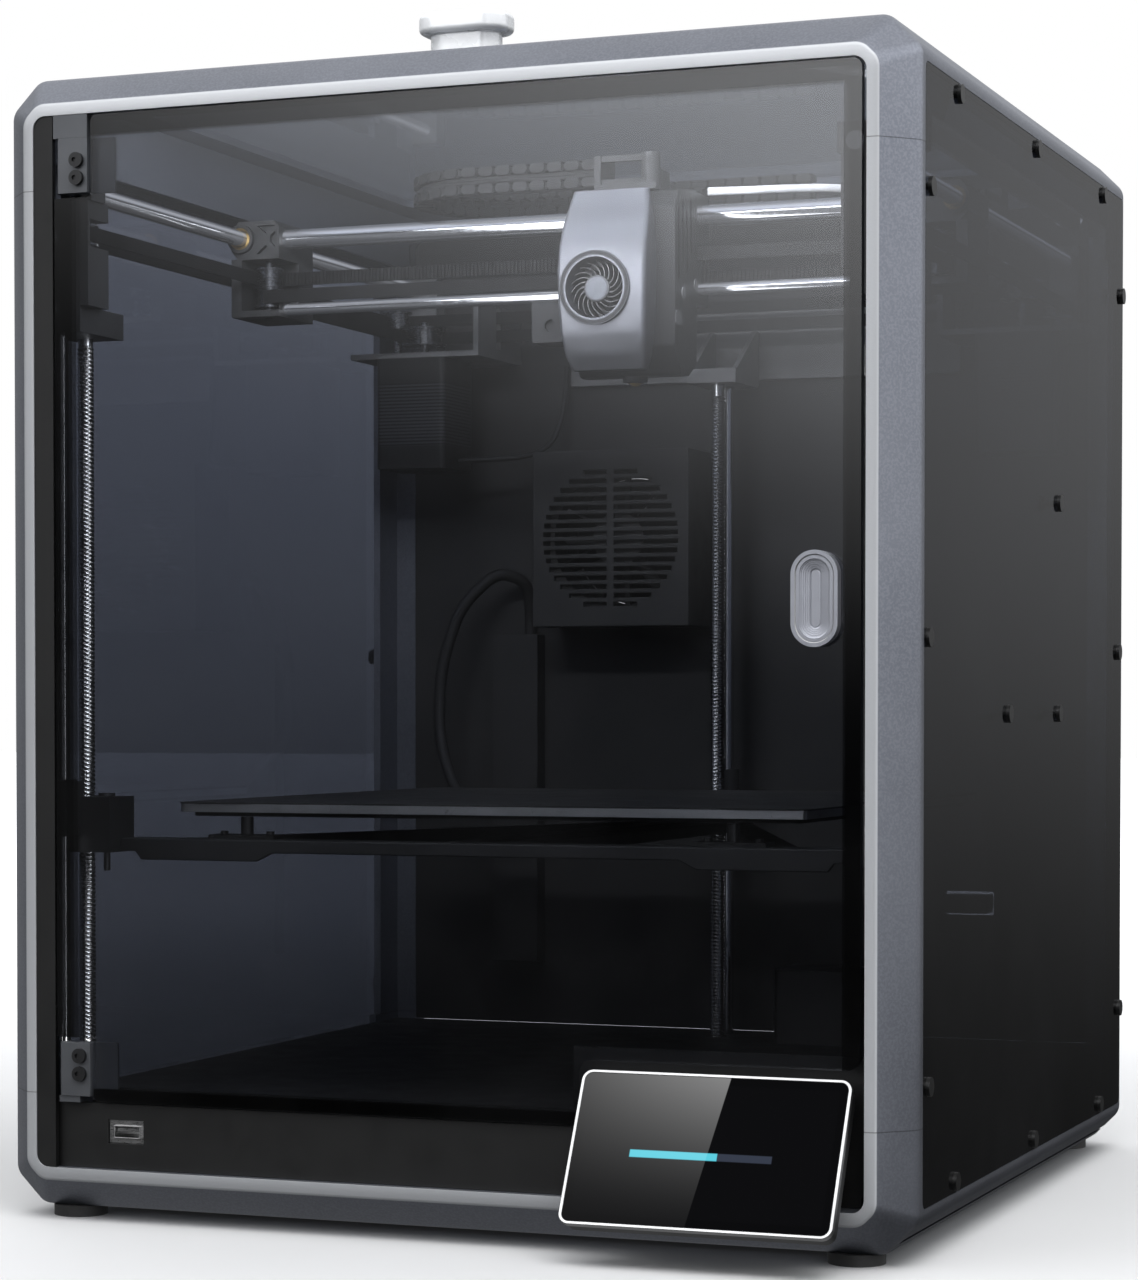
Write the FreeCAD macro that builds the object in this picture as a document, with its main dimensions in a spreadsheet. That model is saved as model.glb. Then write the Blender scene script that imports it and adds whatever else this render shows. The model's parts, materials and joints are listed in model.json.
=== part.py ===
import FreeCAD, Part
import math
import os
import re

# Enclosed gantry printer.  X runs across the front, Y from the door to the back, Z up.
# All positions in this file are written from the front rim plane (y = 0) and the underside of the
# casing (z = 0); every placement then subtracts y_mid and adds foot_hgt, so that the origin is at
# the middle of the footprint on the surface the feet stand on.
doc = FreeCAD.newDocument("printer")
sheet = doc.addObject("Spreadsheet::Sheet", "Dims")
CELLS = [
    ("body_w", 435.0), ("body_d", 448.5), ("body_hgt", 522.0), ("y_mid", 207.95), ("foot_hgt", 5.0),
    ("foot_rad", 12.5), ("corner_cut", 14.5), ("bevel_x", 14.69), ("bevel_y", 15.5), ("rim_half", 197.85),
    ("rim_lo", 19.6), ("rim_hi", 502.3), ("seam_lo", 54.0), ("seam_hi", 468.3), ("inner_half", 209.5),
    ("panel_thk", 4.0), ("panel_y0", 21.3), ("panel_y1", 429.8), ("panel_z0", 19.6), ("panel_z1", 502.3),
    ("screw_head", 4.2), ("door_x0", -187.2), ("door_x1", 195.6), ("door_z0", 50.9), ("door_z1", 501.6),
    ("door_thk", 4.0), ("hinge_x", -183.2), ("hinge_y", 3.0), ("pin_rad", 1.5), ("lid_half", 189.6),
    ("lid_y0", 24.4), ("lid_y1", 401.6), ("lid_thk", 4.0), ("open_half", 178.0), ("open_y0", 36.0),
    ("open_y1", 390.0), ("deck_z", 48.0), ("deck_thk", 2.0), ("rod_x", 200.0), ("rod_y", 26.0),
    ("screw_y", 52.0), ("screw_rad", 4.0), ("rod_rad", 4.0), ("rear_screw_y", 400.0), ("rear_rod_y", 416.0),
    ("bed_half", 154.3), ("bed_y0", 59.0), ("bed_y1", 368.0), ("bed_z", 182.4), ("bed_thk", 3.8),
    ("sheet_thk", 0.8), ("guide_x", 187.0), ("guide_z", 471.0), ("guide_rad", 4.0), ("gantry_y", 200.0),
    ("cross_up_rad", 5.0), ("cross_lo_rad", 3.0), ("cross_lo_z", 435.3), ("belt_wid", 6.6),
    ("belt_thk", 1.4), ("belt_up_z", 451.8), ("belt_lo_z", 441.6), ("motor_x", 172.2), ("motor_y", 391.0),
    ("motor_side", 42.0), ("pulley_rad", 10.0), ("screen_w", 120.7), ("screen_tall", 70.2),
    ("screen_thk", 12.0), ("screen_tilt", 27.6), ("screen_x", 132.8), ("screen_y", -16.3),
    ("screen_z", 44.65), ("fan_rad", 17.4), ("head_x", 27.0), ("head_half", 22.5), ("duct_thk", 12.0), ("idler_x", 190.3), ("knob_half", 21.0),
]
for row, (alias, value) in enumerate(CELLS, 1):
    sheet.set("A%d" % row, alias)
    sheet.set("B%d" % row, repr(value))
    sheet.setAlias("B%d" % row, alias)
doc.recompute()
D = {alias: value for alias, value in CELLS}
NAMES = sorted(D, key=len, reverse=True)
PAT = re.compile(r"\b(" + "|".join(NAMES) + r")\b")


def ex(text):
    """Point a formula written with plain cell names at the sheet."""
    return PAT.sub(lambda hit: "Dims." + hit.group(1), str(text))


def val(text):
    """Work a formula out from the sheet, through the sheet's own cells."""
    if isinstance(text, (int, float)):
        return float(text)
    total, sign, term = 0.0, 1.0, ""
    out = 0.0
    tokens = re.findall(r"[A-Za-z_]\w*|\d+\.?\d*|[-+*/]", text)
    sign, acc, op = 1.0, None, "+"
    stack = []
    for token in tokens:
        if token in "+-" and acc is None:
            sign = -sign if token == "-" else sign
        elif token in "+-":
            out += acc
            acc, sign = None, (-1.0 if token == "-" else 1.0)
        elif token in "*/":
            op = token
        else:
            number = sheet.get(token) if token in D else float(token)
            number = float(number)
            if acc is None:
                acc, op = sign * number, ""
            elif op == "*":
                acc, op = acc * number, ""
            elif op == "/":
                acc, op = acc / number, ""
    return out + (acc or 0.0)


def spot(obj, x, y, z):
    obj.setExpression("Placement.Base.x", ex(x))
    obj.setExpression("Placement.Base.y", ex("(%s) - y_mid" % y))
    obj.setExpression("Placement.Base.z", ex("(%s) + foot_hgt" % z))


made = 0


def nm(stem):
    global made
    made += 1
    return "%s_%d" % (stem, made)


def box(x0, x1, y0, y1, z0, z1, name=None):
    o = doc.addObject("Part::Box", name or nm("block"))
    o.setExpression("Length", ex("(%s) - (%s)" % (x1, x0)))
    o.setExpression("Width", ex("(%s) - (%s)" % (y1, y0)))
    o.setExpression("Height", ex("(%s) - (%s)" % (z1, z0)))
    spot(o, x0, y0, z0)
    return o


def cyl(x, y, z, rad, length, axis="z", name=None):
    o = doc.addObject("Part::Cylinder", name or nm("round"))
    o.setExpression("Radius", ex(rad))
    o.setExpression("Height", ex(length))
    turn = {"z": (FreeCAD.Vector(0, 0, 1), 0), "x": (FreeCAD.Vector(0, 1, 0), 90), "y": (FreeCAD.Vector(1, 0, 0), -90)}[axis]
    o.Placement = FreeCAD.Placement(FreeCAD.Vector(), FreeCAD.Rotation(*turn))
    spot(o, x, y, z)
    return o


def cut(base, tools, name=None):
    tools = tools if isinstance(tools, list) else [tools]
    tool = tools[0] if len(tools) == 1 else fuse(tools)
    o = doc.addObject("Part::Cut", name or nm("cut"))
    o.Base, o.Tool = base, tool
    return o


def fuse(parts, name=None):
    o = doc.addObject("Part::MultiFuse", name or nm("fuse"))
    o.Shapes = parts
    o.Refine = True
    return o


def common(parts, name=None):
    o = doc.addObject("Part::MultiCommon", name or nm("common"))
    o.Shapes = parts
    return o


def group(parts, name):
    o = doc.addObject("Part::Compound", name)
    o.Links = parts
    return o


def feature(name, shape):
    o = doc.addObject("Part::Feature", name)
    o.Shape = shape
    o.Placement = FreeCAD.Placement(FreeCAD.Vector(0, -val("y_mid"), val("foot_hgt")), FreeCAD.Rotation())
    return o


# ---- sketched plates -------------------------------------------------------------------------
PLANES = {"xy": "XY_Plane", "xz": "XZ_Plane", "yz": "YZ_Plane"}


def origin_plane(body, plane):
    for item in body.Origin.OriginFeatures:
        if item.Role == PLANES[plane]:
            return item


def rounded(points, radii):
    """Lines and tangent arcs round a closed polygon; a radius of 0 keeps the corner sharp."""
    V = FreeCAD.Vector
    n = len(points)
    ins, outs, arcs = [], [], []
    for i in range(n):
        p, a, b = (V(*points[i], 0), V(*points[i - 1], 0), V(*points[(i + 1) % n], 0))
        r = radii[i] if isinstance(radii, (list, tuple)) else radii
        u, w = (a - p).normalize(), (b - p).normalize()
        half = math.acos(max(-1, min(1, u.dot(w)))) / 2
        if r <= 0:
            ins.append(p); outs.append(p); arcs.append(None)
            continue
        t = r / math.tan(half)
        mid = (u + w).normalize()
        centre = p + mid * (r / math.sin(half))
        ins.append(p + u * t); outs.append(p + w * t)
        arcs.append((p + u * t, centre - mid * r, p + w * t))
    edges = []
    for i in range(n):
        if arcs[i]:
            edges.append(Part.Arc(*arcs[i]))
        j = (i + 1) % n
        if (ins[j] - outs[i]).Length > 1e-6:
            edges.append(Part.LineSegment(outs[i], ins[j]))
    return edges


def put_sketch(body, plane, offset, loops, circles):
    sk = body.newObject("Sketcher::SketchObject", nm("sketch"))
    sk.AttachmentSupport = [(origin_plane(body, plane), "")]
    sk.MapMode = "FlatFace"
    lift = ("-(%s)" % offset) if plane == "xz" else str(offset)
    sk.setExpression(".AttachmentOffset.Base.z", ex(lift))
    for points, radii in loops:
        sk.addGeometry(rounded([(val(a), val(b)) for a, b in points], radii), False)
    for cx, cy, rad in circles:
        g = sk.addGeometry(Part.Circle(FreeCAD.Vector(val(cx), val(cy), 0), FreeCAD.Vector(0, 0, 1), val(rad)), False)
        k = sk.addConstraint(_sk_radius(g, val(rad)))
        sk.setExpression("Constraints[%d]" % k, ex(rad))
    return sk


import Sketcher


def _sk_radius(g, r):
    return Sketcher.Constraint("Radius", g, r)


def rect(x0, x1, y0, y1):
    return [(x0, y0), (x1, y0), (x1, y1), (x0, y1)]


def plate(name, plane, start, depth, loops, circles=()):
    """A body padded from a sketch on one of its own origin planes; depth runs toward +x, +y or +z."""
    body = doc.addObject("PartDesign::Body", name)
    sk = put_sketch(body, plane, start, loops, circles)
    pad = body.newObject("PartDesign::Pad", nm("pad"))
    pad.Profile = sk
    pad.setExpression("Length", ex(depth))
    pad.Reversed = plane == "xz"
    body.setExpression("Placement.Base.y", ex("-y_mid"))
    body.setExpression("Placement.Base.z", ex("foot_hgt"))
    return body


def pocket(body, plane, start, depth, loops, circles=()):
    sk = put_sketch(body, plane, start, loops, circles)
    before = None
    doc.recompute()
    before = body.Shape.Volume
    pk = body.newObject("PartDesign::Pocket", nm("pocket"))
    pk.Profile = sk
    pk.setExpression("Length", ex(depth))
    pk.Reversed = plane != "xz"
    doc.recompute()
    assert body.Shape.Volume < before - 0.5, "pocket cut nothing in " + body.Name
    return pk


def soften(body, pick, rad, kind="Fillet"):
    """Round or chamfer the edges of a body that pick() accepts."""
    doc.recompute()
    tip = body.Tip
    names = ["Edge%d" % (i + 1) for i, e in enumerate(tip.Shape.Edges) if pick(e)]
    assert names, "no edges in " + body.Name
    f = body.newObject("PartDesign::" + kind, nm(kind.lower()))
    f.Base = (tip, names)
    f.setExpression("Radius" if kind == "Fillet" else "Size", ex(rad))
    doc.recompute()
    return f


def at_level(axis, level):
    def pick(e):
        b = e.BoundBox
        lo, hi = (b.XMin, b.XMax) if axis == 0 else (b.YMin, b.YMax) if axis == 1 else (b.ZMin, b.ZMax)
        return abs(lo - level) < 1e-3 and abs(hi - level) < 1e-3
    return pick


NODES = {}


def node(label, obj):
    obj.Label = label
    NODES[label] = obj
    return obj


# ---- casing envelope -------------------------------------------------------------------------
def outline(y, inset):
    """Casing section at depth y: eight straight sides with tangent blends between them."""
    share = inset / val("bevel_x")
    half = val("body_w") / 2 - inset
    lo, hi = inset * (13.87 / 14.69), val("body_hgt") - inset * (14.35 / 14.69)
    c = val("corner_cut") - 7.3 * share
    r = 8.0 + 0.8 * share
    pts = [(-half + c, lo), (half - c, lo), (half, lo + c), (half, hi - c), (half - c, hi), (-half + c, hi), (-half, hi - c), (-half, lo + c)]
    V = FreeCAD.Vector
    edges = []
    for g in rounded(pts, r):
        if isinstance(g, Part.Arc):
            e = g.toShape() if hasattr(g, "toShape") else Part.Edge(g)
        else:
            e = g.toShape()
        edges.append(e)
    w = Part.Wire(Part.__sortEdges__(edges))
    m = FreeCAD.Matrix(1, 0, 0, 0, 0, 0, -1, y, 0, 1, 0, 0, 0, 0, 0, 1)
    # the outline is drawn in x and y, then turned so that its second axis is z
    return w.transformGeometry(FreeCAD.Matrix(1, 0, 0, 0, 0, 0, 1, y, 0, 1, 0, 0, 0, 0, 0, 1))


def profile():
    """Depth and inset of the casing's sections: rim edge, bevel, and a blend of about 7 mm into the flat."""
    bx, by = val("bevel_x"), val("bevel_y")
    slope = math.atan2(bx, by)
    t = 2.8
    pts = [(0.0, bx + 0.9), (0.28, bx + 0.12), (0.95, bx - 0.95 * bx / by)]
    y0, e0 = by - t * math.cos(slope), t * math.sin(slope)
    rad = t / math.tan(slope / 2) if slope else 1.0
    for i in range(0, 5):
        a = slope * (1 - i / 4.0)
        # circle tangent to the bevel and to the flat side
        yc = by + t
        pts.append((yc - rad * math.sin(a), rad * (1 - math.cos(a))))
    return pts


half = profile()
depth = val("body_d")
sections = half + [(depth - y, e) for y, e in reversed(half)]
envelope = Part.makeLoft([outline(y, e) for y, e in sections], True, True)
if envelope.Volume < 0:
    envelope = envelope.reversed()


def raw_box(x0, x1, y0, y1, z0, z1):
    return Part.makeBox(x1 - x0, y1 - y0, z1 - z0, FreeCAD.Vector(x0, y0, z0))


def rounded_prism_y(x0, x1, z0, z1, r, y0, y1):
    w = Part.Wire(Part.__sortEdges__([g.toShape() for g in rounded([(x0, z0), (x1, z0), (x1, z1), (x0, z1)], r)]))
    w = w.transformGeometry(FreeCAD.Matrix(1, 0, 0, 0, 0, 0, 1, y0, 0, 1, 0, 0, 0, 0, 0, 1))
    return Part.Face(w).extrude(FreeCAD.Vector(0, y1 - y0, 0))


def rounded_prism_x(y0, y1, z0, z1, r, x0, x1):
    w = Part.Wire(Part.__sortEdges__([g.toShape() for g in rounded([(y0, z0), (y1, z0), (y1, z1), (y0, z1)], r)]))
    w = w.transformGeometry(FreeCAD.Matrix(0, 0, 1, x0, 1, 0, 0, 0, 0, 1, 0, 0, 0, 0, 0, 1))
    return Part.Face(w).extrude(FreeCAD.Vector(x1 - x0, 0, 0))


def rounded_prism_z(x0, x1, y0, y1, r, z0, z1):
    w = Part.Wire(Part.__sortEdges__([g.toShape() for g in rounded([(x0, y0), (x1, y0), (x1, y1), (x0, y1)], r)]))
    w = w.transformGeometry(FreeCAD.Matrix(1, 0, 0, 0, 0, 1, 0, 0, 0, 0, 1, z0, 0, 0, 0, 1))
    return Part.Face(w).extrude(FreeCAD.Vector(0, 0, z1 - z0))


RH, RL, RU, IH = val("rim_half"), val("rim_lo"), val("rim_hi"), val("inner_half")
SL, SH, H = val("seam_lo"), val("seam_hi"), val("body_hgt")
W2 = val("body_w") / 2
PT = val("panel_thk")
front_hole = rounded_prism_y(-RH, RH, RL, RU, 6.0, -2, 30)
rear_hole = rounded_prism_y(-RH, RH, RL, RU, 6.0, depth - 30, depth + 2)
rebate_r = rounded_prism_x(val("panel_y0") - 0.3, val("panel_y1") + 0.3, val("panel_z0") - 0.3, val("panel_z1") + 0.3, 4.0, W2 - PT, W2 + 5)
rebate_l = rounded_prism_x(val("panel_y0") - 0.3, val("panel_y1") + 0.3, val("panel_z0") - 0.3, val("panel_z1") + 0.3, 4.0, -W2 - 5, -W2 + PT)
side_through = [raw_box(-W2 - 5, W2 + 5, 46, 405, 33, 484)]
shell = envelope.cut([front_hole, rear_hole, rebate_r, rebate_l])
# screw holes through the flanges behind the side panels
SIDE_SCREWS = [(77.7, 497.9), (227.7, 497.9), (379.7, 497.9), (29.0, 451.0), (426.5, 451.0), (26.9, 261.2), (421.0, 261.2), (426.0, 70.8), (29.0, 70.8), (75.5, 24.3), (227.0, 24.3), (378.0, 24.3)]
MID_SCREWS = [(276.9, 332.1), (172.0, 228.7), (277.2, 228.7)]

# base casting: floor ring, side flanges and the foot of each corner
cavity = raw_box(-IH, IH, 20, depth - 12.5, 4.5, SL + 5)
under = rounded_prism_z(-186, 186, 34, depth - 34, 12, -1, 6)
base = shell.common(raw_box(-300, 300, -5, depth + 5, -5, SL)).cut([cavity, under] + side_through)
node("base_frame", feature("base_frame", base))

# top casting: lid opening with its rebate, and a double side wall
top = shell.common(raw_box(-300, 300, -5, depth + 5, SH, H + 5))
top_cav = raw_box(-194, 194, 20, depth - 12.5, SH - 5, H - 8)
top_side = [raw_box(197, IH, 24, depth - 20, SH - 5, H - 8), raw_box(-IH, -197, 24, depth - 20, SH - 5, H - 8)]
top_low = [raw_box(-IH, IH, 20, depth - 12.5, SH - 5, 484)]
lid_hole = rounded_prism_z(-val("open_half"), val("open_half"), val("open_y0"), val("open_y1"), 14, H - 12, H + 5)
lid_rebate = rounded_prism_z(-val("lid_half") - 0.4, val("lid_half") + 0.4, val("lid_y0") - 0.4, val("lid_y1") + 0.4, 12, H - val("lid_thk") - 0.1, H + 5)
top = top.cut([top_cav, lid_hole, lid_rebate] + top_side + top_low + side_through)
node("top_frame", feature("top_frame", top))

# four corner posts between the two castings
posts = shell.common(raw_box(-300, 300, -5, depth + 5, SL + 0.05, SH - 0.05))
posts = posts.cut([raw_box(-IH, IH, 20, depth - 12.5, 0, H), raw_box(-300, 300, 36, 412, 0, H), raw_box(-RH, RH, -5, depth + 5, 0, H)])
node("corner_posts", feature("corner_posts", Part.Compound(posts.Solids)))

# ---- side panels and their fixings -------------------------------------------------------------
panels = []
for side in (-1, 1):
    start = "body_w/2 - panel_thk" if side > 0 else "-body_w/2"
    panels.append(plate("side_sheet_%s" % ("right" if side > 0 else "left"), "yz", start, "panel_thk",
                        [(rect("panel_y0", "panel_y1", "panel_z0", "panel_z1"), 3.6)],
                        [(y, z, 1.6) for y, z in SIDE_SCREWS + (MID_SCREWS if side > 0 else [])]))
node("side_panel_left", panels[0])
node("side_panel_right", panels[1])
screws = []
for side in (-1, 1):
    for y, z in SIDE_SCREWS:
        if side > 0:
            screws.append(fuse([cyl("body_w/2", y, z, "screw_head", 1.7, "x"), cyl("body_w/2 - panel_thk", y, z, 1.45, 4.5, "x")]))
        else:
            screws.append(fuse([cyl("-body_w/2 - 1.7", y, z, "screw_head", 1.7, "x"), cyl("-body_w/2 - 0.5", y, z, 1.45, 4.5, "x")]))
# three longer screws in the right side panel alone, with spacer sleeves behind them
for y, z in MID_SCREWS:
    screws.append(fuse([cyl("body_w/2", y, z, "screw_head", 1.7, "x"), cyl("body_w/2 - 14", y, z, 1.45, 14.5, "x"), cyl("body_w/2 - 14", y, z, 3.2, "14 - panel_thk - 0.02", "x")]))
node("panel_screws", group(screws, "panel_screws"))

# ---- front: strip, fascia, port, hinges, door --------------------------------------------------
strip = plate("hinge_strip", "xz", 0.6, 3.0, [(rect("-rim_half + 0.15", -188.0, "rim_lo + 0.2", "rim_hi - 0.2"), [5.6, 0.6, 0.6, 5.6])])
fascia = cut(fuse([box("-rim_half + 0.15", 66, 5, 8, "rim_lo + 0.2", 49.6), box(63, 66, 5, 16, "rim_lo + 0.2", 49.6),
                   box(63, "rim_half - 0.15", 13, 16, "rim_lo + 0.2", 84.0), box(-170, 66, 7.5, 8, 49.5, 57.0)]),
             [box(-163.1, -144.7, 0, 12, 31.4, 42.3), box(-200, -193, 0, 20, 18, 24.5), box(193, 200, 0, 20, 18, 24.5)], "fascia_cut")
node("front_trim", group([strip, fascia], "front_trim"))
port = cut(fuse([box(-163.0, -144.8, 6.2, 8, 31.5, 42.2), box(-160.0, -146.6, 4.6, 20, 33.9, 39.8)]),
           [box(-159.4, -147.2, 0, 16, 34.5, 39.2)])
tongue = box(-159.0, -147.6, 6.5, 16.5, 37.0, 38.6)
node("usb_port", fuse([port, tongue], "usb_port"))

tab = fuse([box("hinge_x - 4.1", -169.8, 0.2, 7.0, 491.6, "rim_hi - 0.1"), cyl("hinge_x", "hinge_y", 483.0, "pin_rad", 9.0)])
low_tab = fuse([box("hinge_x - 2.4", -175.0, 0.2, 12.0, 50.2, 53.0), box("hinge_x - 2.4", -175.0, 8.1, 12.0, 38.0, 53.0), cyl("hinge_x", "hinge_y", 52.9, "pin_rad", 9.5)])
node("hinge_brackets", group([tab, low_tab], "hinge_brackets"))

# the pane is cut away round both hinge blocks and above the display
NX, NZ = 68.6, 79.2
door_pts = [("door_x0", 80.0), (-168.4, 80.0), (-168.4, "door_z0"), (NX - 0.0, "door_z0"), (NX, NZ), ("door_x1", NZ), ("door_x1", "door_z1"),
            (-168.4, "door_z1"), (-168.4, 464.4), ("door_x0", 464.4)]
door_rad = [1.0, 2.0, 3.0, 5.0, 6.0, 6.0, 4.0, 3.0, 2.0, 1.0]
door = plate("door_glass", "xz", 1.0, "door_thk", [(door_pts, door_rad)])
node("door_glass", door)
blocks = []
for z0, z1, hole, b1, b2 in ((466.4, 491.4, 482.8, 481.2, 473.1), (53.2, 77.7, 53.2, 71.8, 63.5)):
    leaf = fuse([box(-184.3, -169.4, -0.5, 5.0, z0, z1), box(-184.3, -158.0, 5.02, 6.6, z0, z1), cyl("hinge_x", "hinge_y", z0, 3.0, z1 - z0)])
    leaf = cut(leaf, [cyl("hinge_x", "hinge_y", hole - 0.1, "pin_rad + 0.05", 9.3)])
    heads = [cut(cyl(-174.5, -2.4, zb, 3.4, 1.9, "y"), [cyl(-175.2, -3, zb, 1.1, 1.6, "y")]) for zb in (b1, b2)]
    blocks += [leaf] + heads
node("hinge_plates", group(blocks, "hinge_plates"))
grip = plate("door_handle", "xz", -4.0, 5.0, [(rect(166.5, 187.0, 256.8, 297.4), 10.2)])
pocket(grip, "xz", -4.0, 1.6, [(rect(168.2, 185.3, 258.5, 295.7), 8.5)])
pocket(grip, "xz", -2.4, 1.2, [(rect(170.6, 182.9, 261.0, 293.2), 6.1)])
back_pad = plate("door_handle_back", "xz", 5.02, 2.0, [(rect(166.5, 187.0, 256.8, 297.4), 10.2)])
node("door_handle", group([grip, back_pad], "door_handle_pair"))

# ---- display -----------------------------------------------------------------------------------
def tilted(o):
    o.setExpression("Placement.Base.x", ex("screen_x"))
    o.setExpression("Placement.Base.y", ex("screen_y - y_mid"))
    o.setExpression("Placement.Base.z", ex("screen_z + foot_hgt"))
    o.setExpression("Placement.Rotation.Axis.x", "1")
    o.setExpression("Placement.Rotation.Axis.z", "0")
    o.setExpression("Placement.Rotation.Angle", ex("-screen_tilt"))


def screen_loop(inset, r):
    return (rect("-screen_w/2 + %s" % inset, "screen_w/2 - %s" % inset, "-screen_tall/2 + %s" % inset, "screen_tall/2 - %s" % inset), r)


bezel = plate("screen_bezel", "xz", 0.0, 3.4, [screen_loop(0, 5.0), screen_loop(1.5, 3.6)])
pane = plate("screen_glass", "xz", 0.35, 1.4, [screen_loop(1.55, 3.5)])
shellb = plate("screen_shell", "xz", 3.42, "screen_thk - 3.42", [screen_loop(0.8, 4.6)])
soften(shellb, at_level(1, 12.0), 2.2)
core = plate("screen_module", "xz", 1.8, 1.58, [screen_loop(2.2, 3.0)])
for o in (bezel, pane, shellb, core):
    o.setExpression("Placement.Base.y", None)
    o.setExpression("Placement.Base.z", None)
    tilted(o)
node("screen_bezel", bezel)
node("screen_glass", pane)
arm = plate("screen_arm", "yz", 92.0, 82.0, [([(6.45, 62.0), (12.98, 62.0), (12.98, 24.0), (-13.42, 24.0)], 0)])
node("screen_housing", group([shellb, core, arm], "screen_housing"))

# ---- floor, rear wall, feet ----------------------------------------------------------------------
deck = cut(fuse([box("-inner_half + 0.3", "inner_half - 0.3", 20.3, "body_d - 13", "deck_z", "deck_z + deck_thk"),
                 box("-rim_half + 0.3", 62.9, 12.1, 21.0, "deck_z", "deck_z + deck_thk"), box(62.9, "rim_half - 0.3", 16.1, 21.0, "deck_z", "deck_z + deck_thk")]),
           [cyl("-rod_x", "screw_y", 40, 6.0, 20), cyl("rod_x", "screw_y", 40, 6.0, 20), cyl(0, "rear_screw_y", 40, 6.0, 20), cyl(62, 392, 40, 12.0, 20)])
cover = plate("bottom_cover", "xy", 1.4, 1.6, [(rect(-185.6, 185.6, 34.4, "body_d - 34.4"), 11.6)],
              [(x, y, 2.2) for x in (-90, -60, -30, 30, 60, 90) for y in (150, 180, 210, 240, 270)])
node("floor_plates", group([deck, cover], "floor_plates"))
rear = plate("rear_panel", "xz", "body_d - 12.4", 2.4, [(rect("-rim_half + 0.2", "rim_half - 0.2", "deck_z + deck_thk + 0.1", "rim_hi - 0.2"), [1.0, 1.0, 5.9, 5.9])],
             [(-61.0, 326.0, 36.0), (150.0, 470.0, 4.2)])
pocket(rear, "xz", "body_d - 12.4", 2.4, [(rect(120.0, 146.6, 88.0, 108.4), 0), (rect(120.0, 147.0, 118.0, 131.0), 1.0),
                                          (rect(179.5, 194.5, 491.8, 497.4), 2.7)])
rear_low = plate("rear_skirt", "xz", "body_d - 12.4", 2.4, [(rect("-rim_half + 0.2", "rim_half - 0.2", "rim_lo + 0.2", "deck_z - 0.1"), [5.9, 5.9, 1.0, 1.0])],
                 [(x, 34.0, 2.4) for x in range(-150, 151, 20)])
node("rear_panel", group([rear, rear_low], "rear_panels"))
feet = []
for fx in (-188.0, 188.0):
    for fy in (24.0, 424.5):
        feet.append(cyl(fx, fy, "-foot_hgt", "foot_rad", "foot_hgt - 0.02"))
node("feet", group(feet, "feet"))

# ---- rear wall furniture -------------------------------------------------------------------------
EX0, EX1, EZ0, EZ1 = -107.4, -15.0, 277.0, 375.0
slots = []
for col in (0, 1):
    for k in range(16):
        z = 326.0 + (k - 7.5) * 4.9
        reach = math.sqrt(max(0.0, 40.0 ** 2 - (z - 326.0) ** 2))
        if reach < 6:
            continue
        a, b = (-61.2 - reach, -61.2 - 2.2) if col == 0 else (-61.2 + 2.2, -61.2 + reach)
        slots.append(box(a, b, 385, 400, z - 1.25, z + 1.25))
exh = cut(box(EX0, EX1, 394, "body_d - 12.5", EZ0, EZ1), [box(EX0 + 2.5, EX1 - 2.5, 396.5, "body_d", EZ0 + 2.5, EZ1 - 2.5)] + slots, "exhaust_box")
frame_fan = cut(box(-101.0, -21.0, 405, 425, 286.0, 366.0), [cyl(-61, 400, 326, 37.5, 30, "y")])
hub_arms = fuse([cyl(-61, 421, 326, 14.0, 3.8, "y"), box(-99.5, -22.5, 422, 424.8, 324.5, 327.5), box(-62.5, -59.5, 422, 424.8, 287.5, 364.5)])
node("exhaust_fan_frame", fuse([frame_fan, hub_arms], "exhaust_fan_frame"))
vanes = []
hub = cyl(-61, 407, 326, 15.0, 13.5, "y")
for k in range(7):
    v = doc.addObject("Part::Box", nm("vane"))
    v.Length, v.Width, v.Height = 26.0, 11.0, 1.6
    a = k * 360.0 / 7
    v.Placement = FreeCAD.Placement(FreeCAD.Vector(-61, 408.5 - val("y_mid"), 326 + val("foot_hgt")), FreeCAD.Rotation(FreeCAD.Vector(0, 1, 0), a)) * \
        FreeCAD.Placement(FreeCAD.Vector(9.0, 0, -3.0), FreeCAD.Rotation(FreeCAD.Vector(1, 0, 0), 24))
    vanes.append(v)
node("exhaust_rotor", fuse([hub] + vanes, "exhaust_rotor"))
duct = cut(box(-144.0, -116.5, "body_d - 12.5 - duct_thk", "body_d - 12.5", 86, 273.6), [box(-141.5, -119.0, "body_d - 10.5 - duct_thk", "body_d", 80, 280)], "cable_duct")
node("rear_wall_housings", group([exh, duct], "rear_wall_housings"))
inlet = cut(box(120.2, 146.4, "body_d - 36", "body_d - 8.6", 88.2, 108.2), [box(123.2, 143.4, "body_d - 24", "body_d", 91.2, 105.2)])
blades = [box(x - 1, x + 1, "body_d - 27", "body_d - 12", z - 2, z + 2) for x, z in ((127.5, 96.5), (133.3, 99.9), (139.1, 96.5))]
flange = cut(box(117.0, 149.6, "body_d - 9.98", "body_d - 8.6", 85.0, 111.4), [box(123.2, 143.4, "body_d - 24", "body_d", 91.2, 105.2)])
node("power_inlet", fuse([inlet, flange] + blades, "power_inlet"))
rocker = plate("rocker_cap", "yz", 121.5, 24.0, [([("body_d - 26", 119.6), ("body_d - 9.2", 119.6), ("body_d - 6.6", 124.5), ("body_d - 7.6", 129.4), ("body_d - 26", 129.4)], [1, 1, 2.5, 1, 1])])
node("power_switch", fuse([rocker, cyl(120.5, 436.0, 124.5, 1.6, 26.0, "x")], "power_switch"))

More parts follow.
